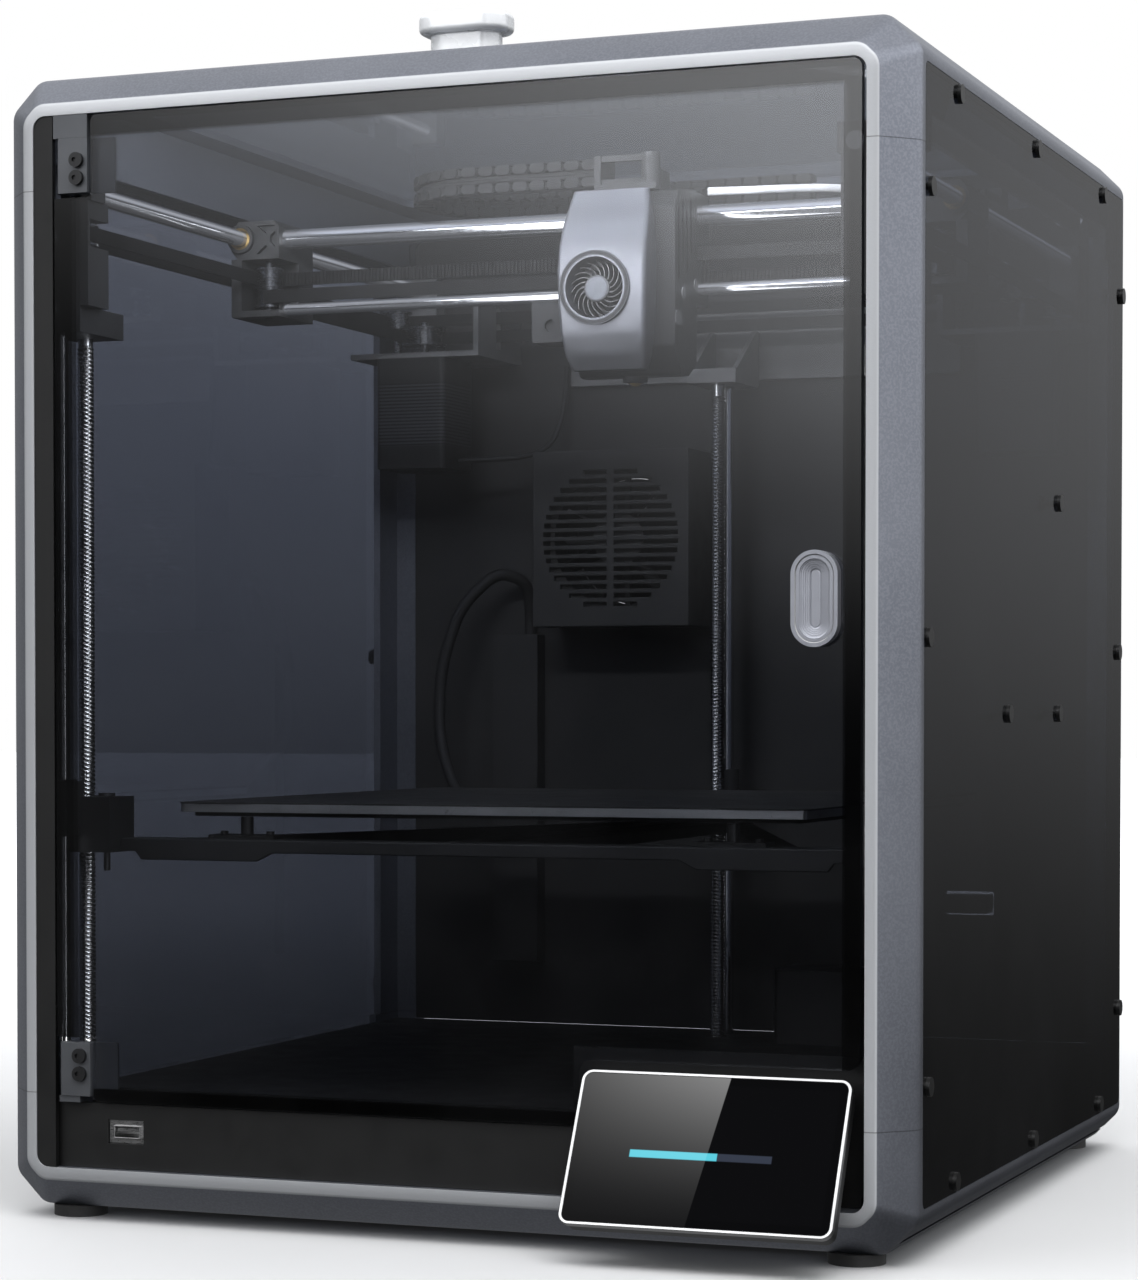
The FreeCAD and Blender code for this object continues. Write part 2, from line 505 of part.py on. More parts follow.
# ---- belt drive in the top corners -----------------------------------------------------------------
motors, brackets = [], []
for side in (-1, 1):
    mx = "%s*motor_x" % side
    x0, x1 = ("-motor_x - motor_side/2", "-motor_x + motor_side/2") if side < 0 else ("motor_x - motor_side/2", "motor_x + motor_side/2")
    motors.append(plate(nm("motor_can"), "xy", 366.0, 62.0, [([(x0, "motor_y - motor_side/2"), (x1, "motor_y - motor_side/2"), (x1, "motor_y + motor_side/2"), (x0, "motor_y + motor_side/2")], 3.5)]))
    if side < 0:
        arm_a = box("-inner_half + 0.2", "-motor_x + motor_side/2 + 20", 371.5, "body_d - 12.5", 428.05, 431.05)
        leg = box("-motor_x + motor_side/2 + 17", "-motor_x + motor_side/2 + 20", 371.5, "body_d - 12.5", 431.0, 458.0)
        hold = box("-guide_x - 8", "-guide_x + 8", 424, "body_d - 12.5", 431.0, 479.0)
    else:
        arm_a = box("motor_x - motor_side/2 - 20", "inner_half - 0.2", 371.5, "body_d - 12.5", 428.05, 431.05)
        leg = box("motor_x - motor_side/2 - 20", "motor_x - motor_side/2 - 17", 371.5, "body_d - 12.5", 431.0, 458.0)
        hold = box("guide_x - 8", "guide_x + 8", 424, "body_d - 12.5", 431.0, 479.0)
    brackets.append(cut(fuse([arm_a, leg, hold]), [cyl(mx, "motor_y", 420, 6.0, 20), box("-motor_x + 30" if side < 0 else 120, -120 if side < 0 else "motor_x - 30", 408, 424, 443, 447),
                    box("-motor_x + 30" if side < 0 else 120, -120 if side < 0 else "motor_x - 30", 398, 404.5, 434, 457.9), cyl("%d*guide_x" % side, 400, "guide_z", "guide_rad + 0.02", 60, "y")]))

LOZ, UPZ = val("belt_lo_z"), val("belt_up_z")


def pulley(name, x, y, z_mid, bore_from):
    """Toothed pulley on its shaft: flange, belt seat, flange, and the spindle that runs in the motor."""
    return fuse([cyl(x, y, bore_from, 2.5, z_mid + 8.0 - bore_from), cyl(x, y, z_mid - 5.0, 12.6, 1.0),
                 cyl(x, y, z_mid - 4.02, "pulley_rad", 8.04), cyl(x, y, z_mid + 4.0, 12.6, 1.0)], name)


node("drive_pulley_left", pulley("drive_pulley_left", "-motor_x", "motor_y", LOZ, 428.5))
node("drive_pulley_right", pulley("drive_pulley_right", "motor_x", "motor_y", UPZ, 428.5))
towers = []
for side in (-1, 1):
    lo, hi = ("-idler_x - 14.5", "-idler_x + 9.5") if side < 0 else ("idler_x - 9.5", "idler_x + 14.5")
    lvl = UPZ if side < 0 else LOZ
    towers.append((fuse([box(lo, hi, 20.6, 40.0, 418.0, 466.5), box("-guide_x - 8" if side < 0 else "guide_x - 8", "-guide_x + 8" if side < 0 else "guide_x + 8", 20.6, 34.0, 466.4, 479.0)]),
                   [box(-300 if side < 0 else 150, -150 if side < 0 else 300, 22.5, 45, lvl - 6.4, lvl + 6.4), cyl("%d*idler_x" % side, 31.0, 430, 2.1, 36.0),
                    cyl("%d*guide_x" % side, 15, "guide_z", "guide_rad + 0.02", 60, "y")]))


def roller(x, y, z_mid, low, high, rad=6.5, pin=1.98):
    return fuse([cyl(x, y, z_mid - 4.9, rad + 1.8, 0.9), cyl(x, y, z_mid - 4.02, rad, 8.04), cyl(x, y, z_mid + 4.0, rad + 1.8, 0.9), cyl(x, y, low, pin, high - low)])


IX = val("idler_x")
RY = 394.5
node("belt_idlers", group([roller("-idler_x", 31.0, UPZ, UPZ - 11, UPZ + 11), roller("idler_x", 31.0, LOZ, LOZ - 11, LOZ + 11),
                           roller("-idler_x", RY, UPZ, 431.1, UPZ + 7), roller("idler_x", RY, LOZ, 431.1, LOZ + 7)], "belt_idlers"))


# belts: thin bands, their teeth are left out
BT, BW = val("belt_thk"), val("belt_wid")
MX, MY = val("motor_x"), val("motor_y")


def band(points, reach, thk, z_mid, wid):
    """A closed band of even thickness whose inner face lies at a set reach outside a convex ring of pulley centres."""
    solids = []
    for grow in (reach + thk, reach):
        pts = []
        for i in range(len(points)):
            p, a, b = [FreeCAD.Vector(*points[k % len(points)], 0) for k in (i, i - 1, i + 1)]
            u, w = (a - p).normalize(), (b - p).normalize()
            m = (u + w).normalize()
            q = p - m * (grow / math.sin(math.acos(u.dot(w)) / 2))
            pts.append((q.x, q.y))
        loop = Part.Wire(Part.__sortEdges__([g.toShape() for g in rounded(pts, grow)]))
        loop.translate(FreeCAD.Vector(0, 0, z_mid - wid / 2))
        solids.append(Part.Face(loop).extrude(FreeCAD.Vector(0, 0, wid)))
    return solids[0].cut(solids[1])


def wrap(cx, cy, inner, z_mid, start, sweep):
    """Part of a belt that goes round a wheel, from a start angle through a sweep, in degrees."""
    out = Part.makeCylinder(inner + BT, BW, FreeCAD.Vector(cx, cy, z_mid - BW / 2), FreeCAD.Vector(0, 0, 1), sweep)
    out = out.cut(Part.makeCylinder(inner, BW, FreeCAD.Vector(cx, cy, z_mid - BW / 2), FreeCAD.Vector(0, 0, 1)))
    out.rotate(FreeCAD.Vector(cx, cy, 0), FreeCAD.Vector(0, 0, 1), start)
    return out


bands = []
PR, IR = val("pulley_rad") + 0.1, 6.6
for side, level in ((-1, UPZ), (1, LOZ)):
    lo, hi = level - BW / 2, level + BW / 2
    xs = sorted([side * (IX + IR), side * (IX + IR + BT)])
    pieces = [raw_box(xs[0], xs[1], 31.0, RY, lo, hi), wrap(side * IX, 31.0, IR, level, 180, 180),
              wrap(side * IX, RY, IR, level, 90 if side < 0 else 0, 90),
              raw_box(*sorted([side * IX, -side * MX]), RY + IR, RY + IR + BT, lo, hi),
              wrap(-side * MX, MY, PR, level, 0 if side < 0 else 90, 90)]
    bands.append(pieces[0].fuse(pieces[1:]).removeSplitter())
zband = band([(-200.0, 52.0), (200.0, 52.0), (62.0, 392.0), (0.0, 400.0)], 8.1, BT, 20.0, BW)
node("timing_belts", feature("timing_belts", Part.Compound(bands + [zband])))
# runs whose length changes as the gantry travels
CY = 200.5
seg = []
for side, front, back in ((-1, UPZ, LOZ), (1, LOZ, UPZ)):
    xs = sorted([side * (IX - IR), side * (IX - IR - BT)])
    seg.append(raw_box(xs[0], xs[1], 31.02, CY, front - BW / 2, front + BW / 2))
    seg.append(raw_box(xs[0], xs[1], CY + 0.02, MY - 0.02, back - BW / 2, back + BW / 2))
node("belt_side_runs", feature("belt_side_runs", Part.Compound(seg)))

# ---- lift drive -------------------------------------------------------------------------------------
zrods, zbr = [], []
for side in (-1, 1):
    zrods.append(cyl("%d*rod_x" % side, "rod_y + 2.0", "deck_z + deck_thk", "rod_rad", 362.0))
    a, b = (-209.3, -185.0) if side < 0 else (185.0, 209.3)
    tower, holes = towers[0 if side < 0 else 1]
    br = fuse([box(a, b, 20.3, 62, 406.0, 418.1), box(a, b, 20.3, 40, 418.0, 430.0), tower])
    zbr.append(cut(br, holes + [cyl("%d*rod_x" % side, "rod_y + 2.0", 380, "rod_rad + 0.02", 32.1), cyl("%d*rod_x" % side, "screw_y", 380, "screw_rad + 0.05", 34)]))
zrods.append(cyl(0, "rear_rod_y", "deck_z + deck_thk", "rod_rad", 362.0))
cheeks = [plate(nm("cheek"), "yz", x, 2.6, [([(388.0, 409.5), (430.2, 409.5), (430.2, 440.9), (426.0, 440.9), (390.5, 417.2), (388.0, 417.2)], 0)]) for x in (-14.0, 11.4)]
beam_ribs = [box(x, x + 3.0, 432.6, "body_d - 12.5", 441.0, 449.0) for x in (-13.0, 20.0, 78.0)]
zbr.append(cut(fuse([box(-14, 14, 388, 430.2, 409.5, 417.2), box(-98, 129, 430.0, "body_d - 12.5", 414.5, 441.5), box(-98, 129, 432.6, "body_d - 12.5", 448.5, 455.5)] + cheeks + beam_ribs),
               [cyl(0, "rear_rod_y", 380, "rod_rad + 0.02", 32.1), cyl(0, "rear_screw_y", 380, "screw_rad + 0.05", 34)]))
node("drive_brackets", group(brackets + zbr, "drive_brackets"))
yrods = [cyl("-guide_x", 20.7, "guide_z", "guide_rad", "body_d - 33.4", "y"), cyl("guide_x", 20.7, "guide_z", "guide_rad", "body_d - 33.4", "y")]
node("guide_rods", group(yrods + zrods, "guide_rods"))
for label, sx, sy in (("lead_screw_front_left", "-rod_x", "screw_y"), ("lead_screw_front_right", "rod_x", "screw_y"), ("lead_screw_rear", "0", "rear_screw_y")):
    node(label, fuse([cyl(sx, sy, 8.0, "screw_rad", 404.0), cyl(sx, sy, 16.0, 8.0, 8.0), cyl(sx, sy, 14.8, 9.3, 1.2), cyl(sx, sy, 24.0, 9.3, 1.2)], label))
zblocks = []
for sx, sy in (("-rod_x", "screw_y"), ("rod_x", "screw_y"), ("0", "rear_screw_y")):
    zblocks.append(cut(cyl(sx, sy, 40.0, 9.0, 7.9), [cyl(sx, sy, 30, "screw_rad + 0.05", 30)]))
node("z_bearings", group(zblocks, "z_bearings"))
motors.append(plate("z_motor", "xy", "deck_z + deck_thk", 40.0, [(rect(41.0, 83.0, 371.0, 413.0), 3.5)]))
node("stepper_motors", group(motors, "stepper_motors"))
node("z_motor_pulley", fuse([cyl(62, 392, 14.0, 2.5, 34.0), cyl(62, 392, 16.0, 8.0, 8.0), cyl(62, 392, 14.8, 9.3, 1.2), cyl(62, 392, 24.0, 9.3, 1.2)], "z_motor_pulley"))
supply = cut(box(-75, 32, 75, 235, 6.5, 44), [box(-73.5, 30.5, 77, 233, 8.0, 42.5)])
board = fuse([box(42, 128, 75, 195, 10, 11.6)] + [box(x, x + 14, 85, 101, 11.5, 24) for x in (48, 68, 88, 108)] + [box(66, 100, 125, 160, 11.5, 16), box(48, 56, 115, 185, 11.5, 20)])
node("electronics", group([supply, board], "electronics"))

# ---- bed ----------------------------------------------------------------------------------------------
build = plate("build_plate", "xy", "bed_z + bed_thk + 0.02", "sheet_thk", [
    ([("-bed_half - 1.5", "bed_y0 - 1"), ("-bed_half + 34", "bed_y0 - 1"), ("-bed_half + 40", "bed_y0 + 1.5"), ("bed_half - 40", "bed_y0 + 1.5"), ("bed_half - 34", "bed_y0 - 1"),
      ("bed_half + 1.5", "bed_y0 - 1"), ("bed_half + 1.5", "bed_y1"), ("-bed_half - 1.5", "bed_y1")], [6, 2, 2, 2, 2, 6, 6, 6])])
node("build_plate", build)
heat = plate("bed_slab", "xy", "bed_z", "bed_thk", [(rect("-bed_half", "bed_half", "bed_y0", "bed_y1"), 2.5)])
insul = plate("bed_mat", "xy", "bed_z - 2.02", 2.0, [(rect("-bed_half + 4.5", "bed_half - 4.5", "bed_y0 + 4.5", "bed_y1 - 4.5"), 4.0)])
node("heated_bed", heat)
node("bed_insulation", insul)
beam = []
beam.append(box(-179.0, 179.0, 46.0, 66.0, 164.0, 170.0))
for s in (-1, 1):
    pts = [(s * 176.0, 170.0), (s * 168.0, 160.0), (s * 108.0, 160.0), (s * 96.0, 166.0), (s * 96.0, 170.0)]
    pr = plate(nm("beam_web"), "xz", 46.0, 3.0, [(pts if s < 0 else list(reversed(pts)), 0)])
    beam.append(pr)
    beam.append(box(-20.0 if s < 0 else 4.0, -4.0 if s < 0 else 20.0, 60.0, 380.0, 164.0, 170.0))
    sp = plate(nm("spar"), "xy", 164.0, 6.0, [([(s * 150.0, 64.0), (s * 130.0, 64.0), (s * 14.0, 372.0), (s * 24.0, 380.0)] if s > 0 else [(s * 24.0, 380.0), (s * 14.0, 372.0), (s * 130.0, 64.0), (s * 150.0, 64.0)], 0)])
    beam.append(sp)
beam.append(box(-26.0, 26.0, 372.0, 386.0, 164.0, 170.0))
frame_bed = fuse(beam, "bed_frame_main")
posts = []
for px, py in ((-120.0, 66.0 - 4), (120.0, 66.0 - 4), (-8.0, 366.0)):
    posts.append(box(px - 17, px + 17, py - 7, py + 7, 170.02, 172.0))
    posts.append(cyl(px, py, 172.0, 3.0, 8.3))
    for dx in (-12, 12):
        posts.append(cyl(px + dx, py, 172.0, 1.9, 1.6))
node("bed_frame", frame_bed)
node("bed_posts", group(posts, "bed_posts"))
carr = []
for s in (-1, 1):
    sleeve = cyl("%d*rod_x" % s, "rod_y + 2.0", 171.3, 7.4, 26.6)
    a, b = (-207.4, -179.05) if s < 0 else (179.05, 207.4)
    blk = box(a, b, 36.0, 60.0, 163.5, 189.6)
    neck = box(-206.0 if s < 0 else 194.0, -194.0 if s < 0 else 206.0, 28.0, 38.0, 172.0, 197.0)
    tip = box(-186.0 if s < 0 else 179.05, -179.05 if s < 0 else 186.0, 58.0, 66.0, 163.5, 171.0)
    pin = fuse([cyl("%d*186.5" % s, 47.0, 154.5, 1.6, 9.2), cyl("%d*186.5" % s, 47.0, 189.4, 4.0, 1.8)])
    c = cut(fuse([sleeve, blk, neck, pin]), [cyl("%d*rod_x" % s, "rod_y + 2.0", 100, "rod_rad + 0.06", 200), cyl("%d*rod_x" % s, "screw_y", 100, "screw_rad + 0.06", 200)])
    carr.append(c)
c = cut(fuse([cyl(0, "rear_rod_y", 163.5, 7.0, 34.0), box(-12, 12, 386.1, "rear_rod_y", 163.5, 180.0)]),
        [cyl(0, "rear_rod_y", 100, "rod_rad + 0.06", 200), cyl(0, "rear_screw_y", 100, "screw_rad + 0.06", 200)])
carr.append(c)
node("bed_carriers", group(carr, "bed_carriers"))

# ---- gantry -----------------------------------------------------------------------------------------
cars, idl = [], []
for s in (-1, 1):
    a, b = (-193.0, -166.0) if s < 0 else (166.0, 193.0)

    def span(p, q, *rest):
        return box(*(sorted([s * p, s * q]) + list(rest)))
    clamp = plate(nm("clamp"), "xz", 191.0, 40.0, [([(s * px, pz) for px, pz in ((166.0, 460.5), (189.0, 460.5), (193.0, 465.0), (193.0, 475.5), (189.0, 480.0), (169.0, 480.0), (166.0, 477.0))], 0)])
    pocket(clamp, "xz", 191.0, 2.6, [([(s * px, pz) for px, pz in ((168.2, 477.6), (178.6, 477.6), (173.6, 473.6))], 0), ([(s * px, pz) for px, pz in ((168.2, 463.4), (178.6, 463.4), (173.6, 467.6))], 0),
                                     ([(s * px, pz) for px, pz in ((168.2, 474.6), (171.2, 472.0), (171.2, 469.4), (168.2, 466.2))], 0)])
    wall = span(187.2, 193.0, 191.0, 231.0, 431.3, 461.0)
    rear_wall = span(166.0, 180.6, 214.0, 231.0, 431.3, 461.0)
    foot = span(166.0, 193.0, 191.0, 231.0, 431.3, 434.6)
    lug = span(166.0, 168.3, 195.5, 204.5, 431.3, 440.0)
    bush = cyl("%d*guide_x" % s, 188.6, "guide_z", 7.2, 4.0, "y")
    solids = [clamp, wall, rear_wall, foot, lug, bush]
    if s > 0:
        solids += [box(150.0, 193.0, 224.0, 271.0, 476.2, 480.02), box(84.0, 193.0, 258.0, 271.0, 480.0, 484.9)]
    car = fuse(solids)
    tools = [cyl("%d*guide_x" % s, 180, "guide_z", "guide_rad + 0.06", 60, "y"), cyl("%d*176.2" % s, 200.5, 425, 2.02, 60)]
    tools.append(cyl(-178 if s < 0 else 150, "gantry_y", "guide_z", "cross_up_rad + 0.01", 28, "x"))
    tools.append(cyl(-178 if s < 0 else 150, "gantry_y", "cross_lo_z", "cross_lo_rad + 0.01", 28, "x"))
    cars.append(cut(car, tools))
    idl.append(fuse([cyl("%d*176.2" % s, 200.5, lvl + lo, rad, thk) for lvl in (LOZ, UPZ) for lo, rad, thk in ((-5.0, 7.5, 1.0), (-4.02, 6.0, 8.04), (4.0, 7.5, 1.0))] +
                    [cyl("%d*176.2" % s, 200.5, 432.0, 1.98, 34.0)]))
node("gantry_carriages", group(cars, "gantry_carriages"))
xr = [cyl(-177.9, "gantry_y", "guide_z", "cross_up_rad", 355.8, "x")]
xr.append(cyl(-168.2, "gantry_y", "cross_lo_z", "cross_lo_rad", 336.4, "x"))
node("x_rods", group(xr, "x_rods"))
node("carriage_idlers", group(idl, "carriage_idlers"))
HX = val("head_x")
gb = []
for level, y_left, y_right in ((UPZ, 206.6, 193.0), (LOZ, 193.0, 206.6)):
    gb.append(raw_box(-176.2, HX - 4, y_left, y_left + BT, level - BW / 2, level + BW / 2))
    gb.append(raw_box(HX + 4, 176.2, y_right, y_right + BT, level - BW / 2, level + BW / 2))
node("x_belts", feature("x_belts", Part.Compound(gb)))

# ---- print head --------------------------------------------------------------------------------------
rear_block = cut(box(HX - 18, HX + 30, 190.0, 214.0, 428.0, 482.0),
                 [cyl(-200, "gantry_y", "guide_z", "cross_up_rad + 0.06", 400, "x"), cyl(-200, "gantry_y", "cross_lo_z", "cross_lo_rad + 0.06", 400, "x"),
                  box(-200, 200, 205.4, 209.2, LOZ - 5, UPZ + 5), box(-200, 200, 191.8, 195.6, LOZ - 5, UPZ + 5)])
side_pts = [(158.0, 470.0), (163.0, 478.5), (190.02, 482.0), (190.02, 398.0), (178.0, 391.0), (168.0, 391.0), (158.0, 404.0)]
core_head = plate("head_core", "yz", HX - 20.0, 52.0, [(list(reversed(side_pts)), [4, 4, 0, 3, 2, 2, 4])])
node("toolhead_body", fuse([core_head, rear_block], "toolhead_body"))

# curved front cover with the round fan mouth
def cover_section(z, y_front, half, rr):
    pts = [(HX - half, 157.96), (HX - half, y_front), (HX + half, y_front), (HX + half, 157.96)]
    w = Part.Wire(Part.__sortEdges__([g.toShape() for g in rounded(pts, [0.01, rr, rr, 0.01])]))
    w.translate(FreeCAD.Vector(0, 0, z))
    return w


levels = [(393.0, 152.5, 18.5), (400.0, 147.5, 20.5), (410.0, 144.6, 21.6), (425.0, 142.6, 22.3), (440.0, 142.2, 22.5), (452.0, 144.0, 22.3), (463.0, 148.0, 21.6), (472.0, 152.6, 20.4), (479.0, 155.4, 19.0)]
cov = Part.makeLoft([cover_section(z, y, h, 2.4) for z, y, h in levels], True, True)
FZ = 431.0
mouth = Part.makeCylinder(14.6, 30, FreeCAD.Vector(HX - 3.0, 135, FZ), FreeCAD.Vector(0, 1, 0))
seat = Part.makeCylinder(val("fan_rad"), 2.0, FreeCAD.Vector(HX - 3.0, 142.0, FZ), FreeCAD.Vector(0, 1, 0))
ring = Part.makeCylinder(val("fan_rad"), 4.2, FreeCAD.Vector(HX - 3.0, 141.4, FZ), FreeCAD.Vector(0, 1, 0))
cover_body = cov.fuse(ring).cut(mouth)
node("toolhead_cover", feature("toolhead_cover", cover_body.removeSplitter()))
imp = [cyl(HX - 3.0, 145.0, FZ, 6.6, 11.0, "y")]
imp.append(cyl(HX - 3.0, 154.6, FZ, 13.6, 1.4, "y"))
for k in range(17):
    b = doc.addObject("Part::Box", nm("blade"))
    b.Length, b.Width, b.Height = 3.6, 9.0, 0.7
    b.Placement = FreeCAD.Placement(FreeCAD.Vector(HX - 3.0, 145.8 - val("y_mid"), FZ + val("foot_hgt")), FreeCAD.Rotation(FreeCAD.Vector(0, 1, 0), k * 360.0 / 17)) * \
        FreeCAD.Placement(FreeCAD.Vector(9.8, 0, 0), FreeCAD.Rotation(FreeCAD.Vector(0, 1, 0), 38))
    imp.append(b)
node("fan_impeller", fuse(imp, "fan_impeller"))
noz = fuse([cyl("head_x + 7", 172.0, 388.6, 6.0, 2.38), cyl("head_x + 7", 172.0, 386.6, 1.4, 2.2)])
cone = doc.addObject("Part::Cone", "nozzle_cone")
cone.Radius1, cone.Radius2, cone.Height = 1.6, 5.0, 2.4
cone.setExpression("Placement.Base.x", ex("head_x + 7"))
cone.setExpression("Placement.Base.y", ex("172.0 - y_mid"))
cone.setExpression("Placement.Base.z", ex("386.6 + foot_hgt"))
node("nozzle", fuse([noz, cone], "nozzle"))
pod = cut(box(HX - 42.0, HX - 20.02, 160.0, 180.0, 408.0, 428.0), [cyl(HX - 32.5, 155, 416, 3.0, 7, "y")], "sensor_box")
br = fuse([box(HX - 16, HX + 16, 176.0, 196.0, 482.02, 485.0), box(HX - 16, HX - 12.5, 176.0, 196.0, 482.02, 499.0), cyl(HX + 11.5, 181.0, 482.02, 4.6, 17.8), box(HX - 16, HX + 12, 177.0, 179.6, 496.0, 499.0),
           box(HX - 16, HX + 12, 177.0, 179.6, 484.0, 487.6), box(HX + 10.5, HX + 16, 181.0, 196.0, 482.02, 492.0)], "chain_bracket")
node("head_fittings", group([pod, br], "head_fittings"))

# cable chain: a closed link track that lies on its side and turns back on itself
def strip_path(points, radii, half_wid, z0, z1):
    fwd = rounded(points, radii)
    out = []
    return fwd


def track(centre_x, near_y, far_y, x_near, x_far, wid, z0, z1):
    r = (far_y - near_y) / 2.0
    yc = (far_y + near_y) / 2.0
    outer = Part.makeCylinder(r + wid / 2, z1 - z0, FreeCAD.Vector(centre_x, yc, z0))
    inner = Part.makeCylinder(r - wid / 2, z1 - z0, FreeCAD.Vector(centre_x, yc, z0))
    ringc = outer.cut(inner).common(raw_box(centre_x - 2 * r, centre_x, near_y - 20, far_y + 20, z0, z1))
    a = raw_box(centre_x, x_near, near_y - wid / 2, near_y + wid / 2, z0, z1)
    b = raw_box(centre_x, x_far, far_y - wid / 2, far_y + wid / 2, z0, z1)
    return ringc.fuse([a, b]).removeSplitter()


chain = track(-58.0, 186.0, 264.0, HX - 16.02, 96.0, 10.0, 485.02, 499.02)
node("cable_chain", feature("cable_chain", chain))

# ---- hoses and leads: straight runs joined by tangent arcs --------------------------------------------
def hose(name, pts, rad):
    V = FreeCAD.Vector
    P = [V(*p) for p in pts]
    edges, radii, length = [], [], 0.0
    prev = P[0]
    for i in range(1, len(P) - 1):
        u, w = (P[i - 1] - P[i]), (P[i + 1] - P[i])
        lu, lw = u.Length, w.Length
        u.normalize(); w.normalize()
        half = math.acos(max(-1, min(1, u.dot(w)))) / 2
        cutl = 0.45 * min(lu, lw)
        r = cutl * math.tan(half)
        radii.append(r)
        a, b = P[i] + u * cutl, P[i] + w * cutl
        mid = (u + w).normalize()
        c = P[i] + mid * (r / math.sin(half))
        m = c - mid * r
        edges.append(Part.LineSegment(prev, a).toShape())
        edges.append(Part.Arc(a, m, b).toShape())
        prev = b
    edges.append(Part.LineSegment(prev, P[-1]).toShape())
    wire = Part.Wire(edges)
    start = edges[0].tangentAt(edges[0].FirstParameter)
    prof = Part.Wire([Part.makeCircle(rad, P[0], start)])
    solid = wire.makePipeShell([prof], True, True)
    want = math.pi * rad * rad * wire.Length
    print(name, "bend radii", ["%.1f" % r for r in radii], "length %.1f" % wire.Length, "volume ratio %.4f" % (solid.Volume / want))
    return solid


node("bed_cable", feature("bed_cable", hose("bed_cable", [
    (-118.0, 369.0, 174.0), (-148.0, 381.0, 181.0), (-166.0, 396.0, 214.0), (-166.0, 399.0, 254.0), (-155.0, 403.0, 290.0), (-136.0, 412.0, 309.0), (-123.0, 424.0, 304.0), (-123.0, 431.2, 286.0), (-124.0, 431.2, 262.0)], 3.4)))
node("motor_lead", feature("motor_lead", hose("motor_lead", [
    (-151.0, 391.0, 371.0), (-138.0, 392.0, 371.5), (-122.0, 396.0, 372.0), (-110.0, 407.0, 375.0), (-104.0, 418.0, 383.0), (-102.0, 425.0, 396.0), (-101.0, 429.0, 411.0), (-101.0, 431.0, 426.0)], 1.6)))
node("filament_tube_front", feature("filament_tube_front", hose("filament_tube_front", [
    (59.0, 207.0, 486.0 - 2.2), (72.0, 214.0, 484.5), (90.0, 228.0, 486.5), (108.0, 245.0, 488.5), (122.0, 262.0, 489.0)], 2.0)))
node("filament_tube_rear", feature("filament_tube_rear", hose("filament_tube_rear", [
    (122.1, 262.122, 489.004), (133.0, 275.4, 489.3), (144.0, 305.0, 488.0), (150.0, 350.0, 482.0), (151.5, 390.0, 475.0), (150.0, 418.0, 470.6), (150.0, 440.0, 470.0)], 2.0)))

# ---- lid --------------------------------------------------------------------------------------------
lid = plate("lid_panel", "xy", "body_hgt - lid_thk", "lid_thk", [(rect("-lid_half", "lid_half", "lid_y0", "lid_y1"), 11.6)], [(-9.0, 43.0, 2.0), (9.0, 43.0, 2.0)])
node("lid_panel", lid)
stem = plate("knob_stem", "xy", "body_hgt + 0.02", 11.0, [(rect("-knob_half + 4.5", "knob_half - 4.5", 34.5, 51.5), 8.0)])
capk = plate("knob_cap", "xy", "body_hgt + 11.0", 8.7, [(rect("-knob_half", "knob_half", 30.0, 56.0), 10.0)])
soften(capk, lambda e: at_level(2, 522 + 11.0)(e) or at_level(2, 522 + 19.7)(e), 2.4)
node("lid_knob", fuse([stem, capk, cyl(-9, 43, "body_hgt - lid_thk - 1.5", 1.9, 8), cyl(9, 43, "body_hgt - lid_thk - 1.5", 1.9, 8)], "lid_knob"))

doc.recompute()
bad = []
for o in doc.Objects:
    if any(flag in ("Invalid", "Error") for flag in o.State):
        bad.append((o.Name, o.Label, list(o.State)))
for label, o in NODES.items():
    if o.Shape.isNull() or not o.Shape.isValid() or not o.Shape.Solids or o.Shape.Volume <= 0:
        bad.append((label, "shape", o.Shape.isNull() or [s.isValid() for s in o.Shape.Solids]))
if bad:
    for item in bad:
        print("BAD", item)
    raise SystemExit(1)
os.makedirs("parts", exist_ok=True)
for stale in os.listdir("parts"):
    if stale.endswith(".step") and stale[:-5] not in NODES:
        os.remove(os.path.join("parts", stale))
for label, o in sorted(NODES.items()):
    o.Shape.exportStep("parts/%s.step" % label)
    b = o.Shape.BoundBox
    print("%-24s %3d solids %10.1f mm3  x %.1f..%.1f y %.1f..%.1f z %.1f..%.1f" % (label, len(o.Shape.Solids), o.Shape.Volume, b.XMin, b.XMax, b.YMin, b.YMax, b.ZMin, b.ZMax))
print(len(NODES), "nodes")
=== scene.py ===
import bpy, bmesh, math, json
import numpy as np
from mathutils import Vector, Matrix, Quaternion

